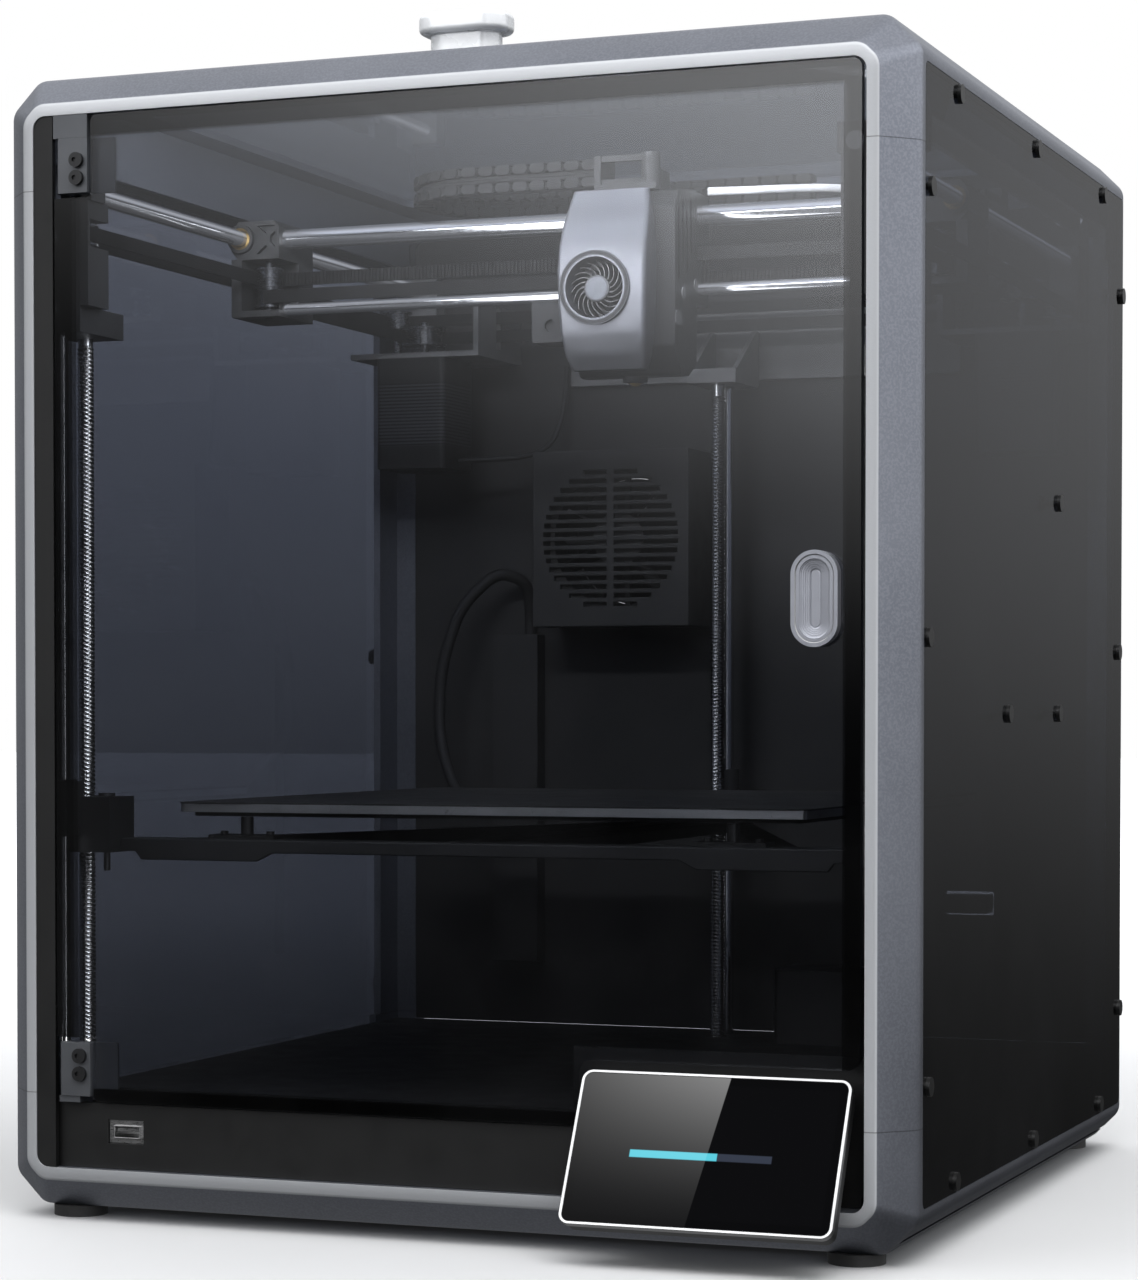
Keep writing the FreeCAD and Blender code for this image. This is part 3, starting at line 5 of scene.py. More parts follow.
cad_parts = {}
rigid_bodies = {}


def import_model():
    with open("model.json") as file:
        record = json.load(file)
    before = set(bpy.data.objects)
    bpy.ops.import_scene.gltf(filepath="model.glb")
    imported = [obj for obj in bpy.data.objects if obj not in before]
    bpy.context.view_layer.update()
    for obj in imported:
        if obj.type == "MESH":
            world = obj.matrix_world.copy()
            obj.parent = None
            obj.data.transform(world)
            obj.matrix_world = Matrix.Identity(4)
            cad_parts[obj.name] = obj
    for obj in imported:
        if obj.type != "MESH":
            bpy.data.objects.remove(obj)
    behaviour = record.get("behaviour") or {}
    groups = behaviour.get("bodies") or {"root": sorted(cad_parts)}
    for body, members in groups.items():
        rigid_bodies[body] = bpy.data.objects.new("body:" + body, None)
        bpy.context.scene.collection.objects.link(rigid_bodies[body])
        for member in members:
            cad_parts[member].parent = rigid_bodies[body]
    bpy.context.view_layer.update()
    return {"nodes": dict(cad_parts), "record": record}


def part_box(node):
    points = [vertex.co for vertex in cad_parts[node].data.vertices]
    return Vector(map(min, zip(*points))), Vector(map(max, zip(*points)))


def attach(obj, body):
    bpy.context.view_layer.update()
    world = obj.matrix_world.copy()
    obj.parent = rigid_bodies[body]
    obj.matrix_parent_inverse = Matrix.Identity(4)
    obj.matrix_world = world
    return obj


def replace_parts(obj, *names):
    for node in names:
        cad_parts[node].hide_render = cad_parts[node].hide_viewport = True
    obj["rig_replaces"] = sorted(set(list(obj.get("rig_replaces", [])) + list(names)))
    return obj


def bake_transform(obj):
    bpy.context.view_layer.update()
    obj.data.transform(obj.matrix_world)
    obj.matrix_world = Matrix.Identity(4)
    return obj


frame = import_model()
nodes = frame["nodes"]
scene = bpy.context.scene
YM = 207.95


def P(x, y, z):
    """Millimetres from the front rim plane and the casing's underside, to the row frame in metres."""
    return Vector((x / 1000.0, (y - YM) / 1000.0, (z + 5.0) / 1000.0))


# ------------------------------------------------------------------------------------------------
# materials
# ------------------------------------------------------------------------------------------------
class Tree:
    def __init__(self, name):
        self.mat = bpy.data.materials.new(name)
        self.mat.use_nodes = True
        self.nt = self.mat.node_tree
        self.bsdf = self.nt.nodes["Principled BSDF"]
        self.out = self.nt.nodes["Material Output"]
        self.coord = self.add("ShaderNodeTexCoord")
        self.pos = self.coord.outputs["Object"]

    def add(self, kind, **props):
        n = self.nt.nodes.new(kind)
        for k, v in props.items():
            setattr(n, k, v)
        return n

    def link(self, a, b):
        self.nt.links.new(a, b)

    def feed(self, socket, value):
        if hasattr(value, "links") or hasattr(value, "is_output"):
            self.link(value, socket)
        else:
            socket.default_value = value

    def math(self, op, a, b=None, c=None, clamp=False):
        n = self.add("ShaderNodeMath", operation=op, use_clamp=clamp)
        self.feed(n.inputs[0], a)
        if b is not None:
            self.feed(n.inputs[1], b)
        if c is not None:
            self.feed(n.inputs[2], c)
        return n.outputs[0]

    def noise(self, scale, detail=3.0, rough=0.5, vec=None, stretch=None):
        v = vec or self.pos
        if stretch:
            m = self.add("ShaderNodeMapping")
            self.link(v, m.inputs["Vector"])
            m.inputs["Scale"].default_value = stretch
            v = m.outputs["Vector"]
        n = self.add("ShaderNodeTexNoise")
        self.link(v, n.inputs["Vector"])
        n.inputs["Scale"].default_value = scale
        n.inputs["Detail"].default_value = detail
        n.inputs["Roughness"].default_value = rough
        return n.outputs["Fac"]

    def ramp(self, fac, a, b, lo=0.0, hi=1.0):
        n = self.add("ShaderNodeMapRange", clamp=True)
        self.feed(n.inputs["Value"], fac)
        n.inputs["From Min"].default_value = a
        n.inputs["From Max"].default_value = b
        n.inputs["To Min"].default_value = lo
        n.inputs["To Max"].default_value = hi
        return n.outputs["Result"]

    def smooth(self, fac, a, b, lo=0.0, hi=1.0):
        n = self.add("ShaderNodeMapRange", clamp=True, interpolation_type="SMOOTHSTEP")
        self.feed(n.inputs["Value"], fac)
        n.inputs["From Min"].default_value = a
        n.inputs["From Max"].default_value = b
        n.inputs["To Min"].default_value = lo
        n.inputs["To Max"].default_value = hi
        return n.outputs["Result"]

    def mix(self, fac, a, b):
        n = self.add("ShaderNodeMix", data_type="RGBA")
        self.feed(n.inputs["Factor"], fac)
        self.feed(n.inputs[6], a if not isinstance(a, (tuple, list)) else (*a[:3], 1))
        self.feed(n.inputs[7], b if not isinstance(b, (tuple, list)) else (*b[:3], 1))
        return n.outputs[2]

    def mixf(self, fac, a, b):
        n = self.add("ShaderNodeMix", data_type="FLOAT")
        self.feed(n.inputs["Factor"], fac)
        self.feed(n.inputs[2], a)
        self.feed(n.inputs[3], b)
        return n.outputs[0]

    def axis(self, k):
        n = self.add("ShaderNodeSeparateXYZ")
        self.link(self.pos, n.inputs[0])
        return n.outputs[k]

    def bump(self, height, strength, distance, normal=None):
        n = self.add("ShaderNodeBump")
        self.link(height, n.inputs["Height"])
        n.inputs["Strength"].default_value = strength
        n.inputs["Distance"].default_value = distance
        if normal is not None:
            self.link(normal, n.inputs["Normal"])
        return n.outputs["Normal"]


def shade(x):
    """sRGB grey or colour, 0 to 255, to linear."""
    def one(c):
        c = c / 255.0
        return c / 12.92 if c <= 0.04045 else ((c + 0.055) / 1.055) ** 2.4
    return tuple(one(c) for c in (x if isinstance(x, (tuple, list)) else (x, x, x)))


def surface(name, color, rough, metal=0.0, grain=(1800, 0.08), var=0.10, coat=0.0, spec=0.5, scratch=0.0, brushed=None, dust=0.0, extra=None):
    t = Tree(name)
    big = t.noise(22.0, 4.0, 0.6)
    fine = t.noise(grain[0], 2.0, 0.55)
    dark = tuple(c * (1 - var) for c in color)
    light = tuple(min(1, c * (1 + var)) for c in color)
    col = t.mix(t.ramp(big, 0.35, 0.65), dark, light)
    r = t.ramp(t.noise(60.0, 3.0, 0.6), 0.3, 0.7, max(0.02, rough * 0.88), min(1.0, rough * 1.12))
    height = fine
    if brushed:
        streak = t.noise(400.0, 2.0, 0.6, stretch=brushed)
        r = t.math("ADD", r, t.ramp(streak, 0.3, 0.7, -0.06, 0.06))
        height = t.math("ADD", t.math("MULTIPLY", fine, 0.4), t.math("MULTIPLY", streak, 0.6))
    if scratch:
        s = t.add("ShaderNodeTexVoronoi", feature="DISTANCE_TO_EDGE")
        t.link(t.pos, s.inputs["Vector"])
        s.inputs["Scale"].default_value = 55.0
        line = t.ramp(s.outputs["Distance"], 0.0, 0.012, 1.0, 0.0)
        gate = t.ramp(t.noise(9.0, 2.0), 0.55, 0.7)
        r = t.math("ADD", r, t.math("MULTIPLY", t.math("MULTIPLY", line, gate), scratch))
    if dust:
        n = t.add("ShaderNodeNewGeometry")
        up = t.add("ShaderNodeSeparateXYZ")
        t.link(n.outputs["Normal"], up.inputs[0])
        d = t.math("MULTIPLY", t.ramp(up.outputs[2], 0.5, 1.0), t.ramp(t.noise(140.0, 4.0, 0.7), 0.45, 0.75), clamp=True)
        col = t.mix(t.math("MULTIPLY", d, dust), col, (0.45, 0.45, 0.44))
    if extra:
        col, r = extra(t, col, r)
    t.feed(t.bsdf.inputs["Base Color"], col)
    t.feed(t.bsdf.inputs["Roughness"], r)
    t.bsdf.inputs["Metallic"].default_value = metal
    t.bsdf.inputs["Specular IOR Level"].default_value = spec
    t.bsdf.inputs["Coat Weight"].default_value = coat
    t.bsdf.inputs["Coat Roughness"].default_value = 0.12
    t.link(t.bump(height, grain[1], 0.0004), t.bsdf.inputs["Normal"])
    return t.mat


def frame_material():
    t = Tree("frame_paint")
    x, y, z = t.axis(0), t.axis(1), t.axis(2)
    y0, y1 = (0 - YM) / 1000.0, (448.5 - YM) / 1000.0
    near_front = t.ramp(t.math("SUBTRACT", y, y0), 0.00045, 0.0007, 1.0, 0.0)
    near_back = t.ramp(t.math("SUBTRACT", y1, y), 0.00045, 0.0007, 1.0, 0.0)
    rim = t.math("MAXIMUM", near_front, near_back)
    geo = t.add("ShaderNodeNewGeometry")
    big = t.noise(14.0, 4.0, 0.6)
    fine = t.noise(2600.0, 2.0, 0.5)
    speck = t.noise(900.0, 2.0, 0.5)
    body = t.mix(t.ramp(big, 0.3, 0.7), shade((104, 107, 115)), shade((114, 117, 125)))
    body = t.mix(t.ramp(speck, 0.42, 0.62, 0.0, 0.22), body, shade((146, 149, 157)))
    # painted shade: the lower end of the right-hand side is painted a little darker
    low = t.math("MULTIPLY", t.ramp(z, 0.02, 0.26, 1.0, 0.0), t.ramp(x, 0.19, 0.205))
    body = t.mix(t.math("MULTIPLY", low, 0.5), body, shade((60, 61, 66)))
    # joints between the castings
    seam = None
    for s in (59.0, 473.3):
        d = t.ramp(t.math("ABSOLUTE", t.math("SUBTRACT", z, s / 1000.0)), 0.00012, 0.00032, 1.0, 0.0)
        seam = d if seam is None else t.math("MAXIMUM", seam, d)
    seam = t.math("MULTIPLY", seam, 0.55)
    col = t.mix(rim, body, shade((199, 201, 205)))
    col = t.mix(seam, col, (0.02, 0.02, 0.022))
    t.feed(t.bsdf.inputs["Base Color"], col)
    t.feed(t.bsdf.inputs["Metallic"], t.mixf(rim, 0.72, 0.16))
    t.feed(t.bsdf.inputs["Roughness"], t.mixf(rim, t.ramp(big, 0.3, 0.7, 0.40, 0.47), 0.42))
    h = t.math("ADD", t.math("MULTIPLY", fine, 0.5), t.math("MULTIPLY", speck, 0.8))
    t.link(t.bump(h, 0.10, 0.0005), t.bsdf.inputs["Normal"])
    return t.mat


def clear_sheet(name, tint, rough=0.02, border=None, gain=1.0, smear=0.10, painted_shade_low=None):
    """A tinted sheet that light goes straight through, with mirror reflections by angle. Tint is for one face; the sheet has two."""
    t = Tree(name)
    t.nt.nodes.remove(t.bsdf)
    tr = t.add("ShaderNodeBsdfTransparent")
    gl = t.add("ShaderNodeBsdfGlossy")
    fr = t.add("ShaderNodeFresnel")
    # the sheet doesn't bend the ray, so its far face has to reflect as its near face does
    back = t.add("ShaderNodeNewGeometry").outputs["Backfacing"]
    t.feed(fr.inputs["IOR"], t.mixf(back, 1.49, 1 / 1.49))
    film = t.ramp(t.noise(7.0, 5.0, 0.62), 0.42, 0.72)
    gl.inputs["Color"].default_value = (gain, gain, gain, 1)
    t.feed(gl.inputs["Roughness"], t.math("ADD", t.math("MULTIPLY", film, 0.02), rough))
    color = (*tint, 1)
    dull = t.add("ShaderNodeBsdfDiffuse")
    dull.inputs["Color"].default_value = (0.5, 0.5, 0.52, 1)
    if border:
        mask = border(t)
        color = t.mix(mask, tint, tuple(c * 0.30 for c in tint))
    if painted_shade_low:
        # painted shade: the tint is darker towards the foot of the panel
        color = t.mix(t.smooth(t.axis(2), 0.02, 0.50), tuple(c * painted_shade_low for c in tint), tint)
    t.feed(tr.inputs["Color"], color)
    mixa = t.add("ShaderNodeMixShader")
    t.link(fr.outputs[0], mixa.inputs[0])
    t.link(tr.outputs[0], mixa.inputs[1])
    t.link(gl.outputs[0], mixa.inputs[2])
    mixb = t.add("ShaderNodeMixShader")
    t.feed(mixb.inputs[0], t.math("MULTIPLY", film, 0.012 * smear / 0.1))
    t.link(mixa.outputs[0], mixb.inputs[1])
    t.link(dull.outputs[0], mixb.inputs[2])
    t.link(mixb.outputs[0], t.out.inputs["Surface"])
    return t.mat


def door_border(t):
    x, z = t.axis(0), t.axis(2)
    top = t.ramp(z, (501.6 + 5 - 9.4) / 1000, (501.6 + 5 - 9.0) / 1000)
    right = t.ramp(x, (195.6 - 8.0) / 1000, (195.6 - 7.6) / 1000)
    left = t.ramp(x, -0.1785, -0.1781, 1.0, 0.0)
    low = t.ramp(z, 0.0612, 0.0616, 1.0, 0.0)
    m = t.math("MAXIMUM", t.math("MAXIMUM", top, right), t.math("MAXIMUM", left, low))
    return m


MATS = {}
MATS["frame_paint"] = frame_material()
# the side panels' tint carries painted shade, darker towards their foot
MATS["smoked_acrylic"] = clear_sheet("smoked_acrylic", (0.385, 0.405, 0.455), gain=0.75, painted_shade_low=0.44)
MATS["smoked_acrylic_lid"] = clear_sheet("smoked_acrylic_lid", (0.44, 0.46, 0.50))
MATS["door_glass"] = clear_sheet("door_glass", (0.70, 0.71, 0.735), border=door_border, gain=1.0)
MATS["screw_steel"] = surface("screw_steel", shade(46), 0.34, 0.7, var=0.12, scratch=0.1)
MATS["black_trim"] = surface("black_trim", shade(15), 0.5, grain=(2400, 0.12), spec=0.3)
MATS["connector_metal"] = surface("connector_metal", shade(150), 0.3, 1.0, brushed=(1, 1, 8))
def hinge_look(t, col, r):
    """The bolt caps stand proud of the leaf and are black."""
    cap = t.ramp(t.axis(1), (-0.55 - YM) / 1000, (-0.50 - YM) / 1000, 1.0, 0.0)
    return t.mix(cap, col, (0.008, 0.008, 0.009)), r


MATS["zinc_hinge"] = surface("zinc_hinge", shade((84, 86, 90)), 0.45, 0.35, grain=(2200, 0.10), extra=hinge_look)
MATS["dark_gloss"] = surface("dark_gloss", shade((150, 152, 160)), 0.32, 0.6, coat=0.3)
MATS["bezel_metal"] = surface("bezel_metal", shade(158), 0.36, 1.0)
MATS["screen_shell"] = surface("screen_shell", shade(34), 0.38, grain=(2400, 0.10))
MATS["sheet_black"] = surface("sheet_black", shade(40), 0.55, 0.2, grain=(2600, 0.16), dust=0.03)
MATS["foot_rubber"] = surface("foot_rubber", shade(22), 0.75, grain=(1500, 0.25), dust=0.05)
MATS["black_plastic"] = surface("black_plastic", shade(36), 0.5, grain=(2200, 0.12))
MATS["fan_plastic"] = surface("fan_plastic", shade(52), 0.4, grain=(2200, 0.08))
MATS["socket_plastic"] = surface("socket_plastic", shade(24), 0.35)
MATS["switch_plastic"] = surface("switch_plastic", shade(28), 0.25, coat=0.3)
def laminations(t, col, r):
    """Stacked steel sheets between the two end caps of the corner motors."""
    z = t.axis(2)
    body = t.math("MULTIPLY", t.ramp(z, 0.3835, 0.3837), t.ramp(z, 0.4187, 0.4189, 1.0, 0.0))
    wave = t.math("SINE", t.math("MULTIPLY", z, 2 * math.pi / 0.0019))
    line = t.math("MULTIPLY", t.ramp(wave, -0.2, 0.6), body)
    col = t.mix(body, col, (0.05, 0.051, 0.055))
    return t.mix(t.math("MULTIPLY", line, 0.8), col, (0.008, 0.008, 0.008)), r


MATS["motor_steel"] = surface("motor_steel", shade(44), 0.4, 0.6, brushed=(1, 1, 12), extra=laminations)
MATS["bracket_steel"] = surface("bracket_steel", shade(96), 0.5, 0.3, grain=(1600, 0.12))
MATS["pulley_aluminium"] = surface("pulley_aluminium", shade(176), 0.25, 1.0, brushed=(1, 1, 10))
MATS["belt_rubber"] = surface("belt_rubber", shade(16), 0.7, grain=(3000, 0.2), spec=0.3)
MATS["rod_chrome"] = surface("rod_chrome", shade(205), 0.14, 1.0, grain=(3000, 0.02), var=0.03, brushed=(1, 1, 1))


def painted_rod_reflections(mat):
    """Painted reflection: bright and grey bands along a polished rod, given as emission and laid out around it by the
    direction each strip faces.
    """
    nt = mat.node_tree
    bsdf = next(n for n in nt.nodes if n.type == "BSDF_PRINCIPLED")
    geo = nt.nodes.new("ShaderNodeNewGeometry")
    sep = nt.nodes.new("ShaderNodeSeparateXYZ")
    nt.links.new(geo.outputs["Normal"], sep.inputs[0])
    curve = nt.nodes.new("ShaderNodeFloatCurve")
    pts = curve.mapping.curves[0].points
    for x, y in ((0.10, 0.05), (0.30, 0.16), (0.42, 0.24), (0.50, 0.10), (0.58, 0.34), (0.70, 0.62), (0.80, 0.40), (0.90, 0.16)):
        pts.new(x, y)
    pts[0].location = (0.0, 0.02)
    pts[-1].location = (1.0, 0.10)
    curve.mapping.update()
    half = nt.nodes.new("ShaderNodeMapRange")
    half.inputs["From Min"].default_value = -1.0
    nt.links.new(sep.outputs["Z"], half.inputs["Value"])
    nt.links.new(half.outputs["Result"], curve.inputs["Value"])
    level = sep.outputs["Z"]
    flat = nt.nodes.new("ShaderNodeMath"); flat.operation = "ABSOLUTE"
    nt.links.new(level, flat.inputs[0])
    lying = nt.nodes.new("ShaderNodeMapRange")
    lying.inputs["From Min"].default_value = 0.0
    lying.inputs["From Max"].default_value = 0.04
    nt.links.new(flat.outputs[0], lying.inputs["Value"])
    painted_band_glow = nt.nodes.new("ShaderNodeMath"); painted_band_glow.operation = "MULTIPLY"
    nt.links.new(curve.outputs["Value"], painted_band_glow.inputs[0])
    nt.links.new(lying.outputs["Result"], painted_band_glow.inputs[1])
    bsdf.inputs["Emission Color"].default_value = (0.93, 0.95, 1.0, 1)
    nt.links.new(painted_band_glow.outputs[0], bsdf.inputs["Emission Strength"])


# painted reflection: glowing bands on the chrome rods
painted_rod_reflections(MATS["rod_chrome"])
MATS["screw_thread_steel"] = surface("screw_thread_steel", shade(176), 0.22, 1.0, var=0.1)
MATS["electronics_mix"] = surface("electronics_mix", shade((110, 116, 112)), 0.4, 0.5)
MATS["plate_coating"] = surface("plate_coating", shade(40), 0.62, grain=(5200, 0.5), var=0.12)
MATS["bed_aluminium"] = surface("bed_aluminium", shade(170), 0.35, 0.9, brushed=(8, 1, 1))
MATS["insulation_foam"] = surface("insulation_foam", shade(48), 0.9, grain=(1200, 0.5))
MATS["bed_frame_paint"] = surface("bed_frame_paint", shade(46), 0.5, 0.3, dust=0.04)
MATS["carrier_aluminium"] = surface("carrier_aluminium", shade(70), 0.42, 0.6)
MATS["carriage_plastic"] = surface("carriage_plastic", shade(38), 0.48, grain=(2200, 0.14))
MATS["toolhead_black"] = surface("toolhead_black", shade(26), 0.42, grain=(2400, 0.1))
MATS["toolhead_silver"] = surface("toolhead_silver", shade((140, 141, 145)), 0.32, 0.85, grain=(2800, 0.06), var=0.04, coat=0.1)
def sock(t, col, r):
    """Silicone sock over the heater block; only the tip of the nozzle is bare brass."""
    bare = t.ramp(t.axis(2), 0.3926, 0.3929, 1.0, 0.0)
    return t.mix(bare, (0.012, 0.012, 0.013), col), t.mixf(bare, 0.6, r)


MATS["nozzle_brass"] = surface("nozzle_brass", shade((200, 168, 96)), 0.3, 0.9, extra=sock)
MATS["chain_plastic"] = surface("chain_plastic", shade(24), 0.42)
MATS["cable_jacket"] = surface("cable_jacket", shade(26), 0.5, grain=(1600, 0.1))
MATS["tube_ptfe"] = surface("tube_ptfe", shade(188), 0.4, var=0.03)
MATS["knob_plastic"] = surface("knob_plastic", shade((240, 242, 245)), 0.28, 0.08, coat=0.3)


def screen_material():
    """Cover glass with a lit progress bar, and a painted sheen of reflected light across one corner, given as emission.
    """
    t = Tree("screen_glass")
    tilt = math.radians(27.6)
    c = P(132.8, -16.3, 44.65)
    sub = t.add("ShaderNodeVectorMath", operation="SUBTRACT")
    t.link(t.pos, sub.inputs[0])
    sub.inputs[1].default_value = c
    du = t.add("ShaderNodeVectorMath", operation="DOT_PRODUCT")
    t.link(sub.outputs[0], du.inputs[0]); du.inputs[1].default_value = (1, 0, 0)
    dv = t.add("ShaderNodeVectorMath", operation="DOT_PRODUCT")
    t.link(sub.outputs[0], dv.inputs[0]); dv.inputs[1].default_value = (0, math.sin(tilt), math.cos(tilt))
    u, v = du.outputs["Value"], dv.outputs["Value"]

    def band(s, a, b, soft=0.0002):
        return t.math("MULTIPLY", t.ramp(s, a - soft, a + soft), t.ramp(s, b - soft, b + soft, 1.0, 0.0))
    rows = band(v, -0.0037, -0.0004)
    done = t.math("MULTIPLY", rows, band(u, -0.0330, 0.0060))
    rest = t.math("MULTIPLY", rows, band(u, 0.0060, 0.0300))
    col = t.mix(done, (0.0, 0.0, 0.0), shade((92, 206, 224)))
    col = t.mix(rest, col, shade((52, 58, 72)))
    # active area a touch lighter than the black border
    area = t.math("MULTIPLY", band(u, -0.0555, 0.0555), band(v, -0.030, 0.030))
    # painted reflection: a sheen of light across one corner, laid on as emission and fading towards the bottom
    edge = t.math("SUBTRACT", u, t.math("MULTIPLY", v, 0.155))
    painted_sheen = t.ramp(edge, 0.0015, 0.0018, 1.0, 0.0)
    glow = t.mix(t.math("MULTIPLY", area, 0.5), (0.0, 0.0, 0.0), (0.0012, 0.0012, 0.0015))
    near = t.ramp(edge, -0.080, 0.0015, 0.25, 1.0)
    painted_sheen_glow = t.math("MULTIPLY", t.math("MULTIPLY", painted_sheen, near), t.math("POWER", t.ramp(v, -0.040, 0.036, 0.0, 1.0), 2.2))
    painted_sheen_glow = t.math("ADD", t.math("MULTIPLY", painted_sheen_glow, 0.24), t.math("MULTIPLY", painted_sheen, 0.006))
    add = t.add("ShaderNodeMix", data_type="RGBA", blend_type="ADD")
    add.inputs["Factor"].default_value = 1.0
    t.link(col, add.inputs[6]); t.link(glow, add.inputs[7])
    add2 = t.add("ShaderNodeMix", data_type="RGBA", blend_type="ADD")
    t.link(painted_sheen_glow, add2.inputs["Factor"])
    t.link(add.outputs[2], add2.inputs[6]); add2.inputs[7].default_value = (1, 1, 1, 1)
    t.bsdf.inputs["Base Color"].default_value = (0.002, 0.002, 0.0025, 1)
    t.bsdf.inputs["Specular IOR Level"].default_value = 0.005
    t.feed(t.bsdf.inputs["Roughness"], t.ramp(t.noise(40.0, 4.0), 0.3, 0.7, 0.03, 0.07))
    t.link(add2.outputs[2], t.bsdf.inputs["Emission Color"])
    t.bsdf.inputs["Emission Strength"].default_value = 1.0
    return t.mat


MATS["screen_glass"] = screen_material()

# a modifier that splits shading by angle, so that CAD faces shade cleanly; tidy() puts a weld before it
group = bpy.data.node_groups.new("shade_by_angle", "GeometryNodeTree")
group.interface.new_socket("Geometry", in_out="INPUT", socket_type="NodeSocketGeometry")
group.interface.new_socket("Geometry", in_out="OUTPUT", socket_type="NodeSocketGeometry")
gi, go = group.nodes.new("NodeGroupInput"), group.nodes.new("NodeGroupOutput")
s1 = group.nodes.new("GeometryNodeSetShadeSmooth"); s1.domain = "FACE"
s2 = group.nodes.new("GeometryNodeSetShadeSmooth"); s2.domain = "EDGE"
ang = group.nodes.new("GeometryNodeInputMeshEdgeAngle")
cmpn = group.nodes.new("FunctionNodeCompare"); cmpn.data_type = "FLOAT"; cmpn.operation = "LESS_THAN"
cmpn.inputs[1].default_value = math.radians(32)
group.links.new(gi.outputs[0], s1.inputs[0])
group.links.new(s1.outputs[0], s2.inputs[0])
group.links.new(ang.outputs["Unsigned Angle"], cmpn.inputs[0])
group.links.new(cmpn.outputs[0], s2.inputs["Shade Smooth"])
group.links.new(s2.outputs[0], go.inputs[0])


def tidy(o, bevel=0.0, segments=2):
    if "custom_normal" in o.data.attributes:
        o.data.attributes.remove(o.data.attributes["custom_normal"])
    w = o.modifiers.new("weld", "WELD"); w.merge_threshold = 2e-6
    g = o.modifiers.new("shade", "NODES"); g.node_group = group
    if bevel:
        b = o.modifiers.new("edge", "BEVEL")
        b.width, b.segments, b.limit_method, b.angle_limit = bevel, segments, "ANGLE", math.radians(40)
        b.use_clamp_overlap = True
        b.harden_normals = True


slot_of = {s["node"]: s["material_slot"] for s in frame["record"]["subparts"]}
BEVELS = {"hinge_plates": 0.0005, "hinge_brackets": 0.0005, "front_trim": 0.0004, "usb_port": 0.0002, "feet": 0.0012, "rear_wall_housings": 0.0005,
          "drive_brackets": 0.0006, "gantry_carriages": 0.0006, "bed_carriers": 0.0007, "bed_frame": 0.0006, "heated_bed": 0.0004, "build_plate": 0.0001,
          "head_fittings": 0.0005, "toolhead_body": 0.0010,           "screen_bezel": 0.0004, "power_inlet": 0.0004, "power_switch": 0.0005, "stepper_motors": 0.0006, 
          "exhaust_fan_frame": 0.0005, "exhaust_rotor": 0.0002, "electronics": 0.0004, "door_handle": 0.0004, "belt_idlers": 0.00015, "carriage_idlers": 0.00015}
for name, o in nodes.items():
    o.data.materials.clear()
    o.data.materials.append(MATS[slot_of[name]])
    tidy(o, BEVELS.get(name, 0.0))

# ------------------------------------------------------------------------------------------------
# modelled detail
# ------------------------------------------------------------------------------------------------
class Soup:
    """Vertices in millimetres, gathered into one mesh."""
    def __init__(self):
        self.v, self.f = [], []

    def add(self, verts, faces):
        n = len(self.v)
        self.v.extend(verts)
        self.f.extend([tuple(i + n for i in f) for f in faces])

    def prism(self, loop, h0, h1, place):
        """A closed outline swept from h0 to h1; place(a, b, h) gives the position in millimetres."""
        n = len(loop)
        vs = [place(a, b, h0) for a, b in loop] + [place(a, b, h1) for a, b in loop]
        fs = [tuple(range(n))[::-1], tuple(range(n, 2 * n))]
        fs += [(i, (i + 1) % n, n + (i + 1) % n, n + i) for i in range(n)]
        self.add(vs, fs)

    def lathe(self, profile, center, axis="z", steps=32):
        """profile holds (radius, height) pairs; the ends are closed."""
        rings, vs, fs = [], [], []
        for r, h in profile:
            row = []
            for k in range(steps):
                t = 2 * math.pi * k / steps
                c, s = r * math.cos(t), r * math.sin(t)
                q = {"z": (c, s, h), "y": (c, h, s), "x": (h, c, s)}[axis]
                row.append(len(vs)); vs.append((center[0] + q[0], center[1] + q[1], center[2] + q[2]))
            rings.append(row)
        for a, b in zip(rings, rings[1:]):
            for k in range(steps):
                fs.append((a[k], a[(k + 1) % steps], b[(k + 1) % steps], b[k]))
        fs.append(tuple(rings[0][::-1])); fs.append(tuple(rings[-1]))
        self.add(vs, fs)

    def tube(self, path, rad, steps=12):
        path = [Vector(p) for p in path]
        vs, fs, rings = [], [], []
        up = Vector((0, 0, 1))
        t0 = (path[1] - path[0]).normalized()
        side = t0.cross(up)
        if side.length < 1e-3:
            side = t0.cross(Vector((0, 1, 0)))
        side.normalize()
        for i, p in enumerate(path):
            a = path[max(0, i - 1)]; b = path[min(len(path) - 1, i + 1)]
            t = (b - a).normalized()
            side = (side - t * side.dot(t)).normalized()
            other = t.cross(side)
            row = []
            for k in range(steps):
                w = 2 * math.pi * k / steps
                row.append(len(vs)); vs.append(tuple(p + side * (rad * math.cos(w)) + other * (rad * math.sin(w))))
            rings.append(row)
        for a, b in zip(rings, rings[1:]):
            for k in range(steps):
                fs.append((a[k], a[(k + 1) % steps], b[(k + 1) % steps], b[k]))
        fs.append(tuple(rings[0][::-1])); fs.append(tuple(rings[-1]))
        self.add(vs, fs)

    def make(self, name, mat, slotname=None, body=None, gone=(), bevel=0.0, recalc=True):
        me = bpy.data.meshes.new(name)
        me.from_pydata([tuple(P(*q)) for q in self.v], [], self.f)
        if recalc:
            bm = bmesh.new(); bm.from_mesh(me)
            bmesh.ops.recalc_face_normals(bm, faces=bm.faces)
            if bevel:
                es = [e for e in bm.edges if len(e.link_faces) == 2 and e.calc_face_angle(0) > math.radians(40)]
                bmesh.ops.bevel(bm, geom=es, offset=bevel, segments=2, affect="EDGES", clamp_overlap=True)
            bm.to_mesh(me); bm.free()
        me.update()
        o = bpy.data.objects.new(name, me)
        scene.collection.objects.link(o)
        me.materials.append(mat)
        me.shade_smooth()
        me.set_sharp_from_angle(angle=math.radians(34))
        if gone:
            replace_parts(o, *gone)
        if body:
            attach(o, body)
        return o


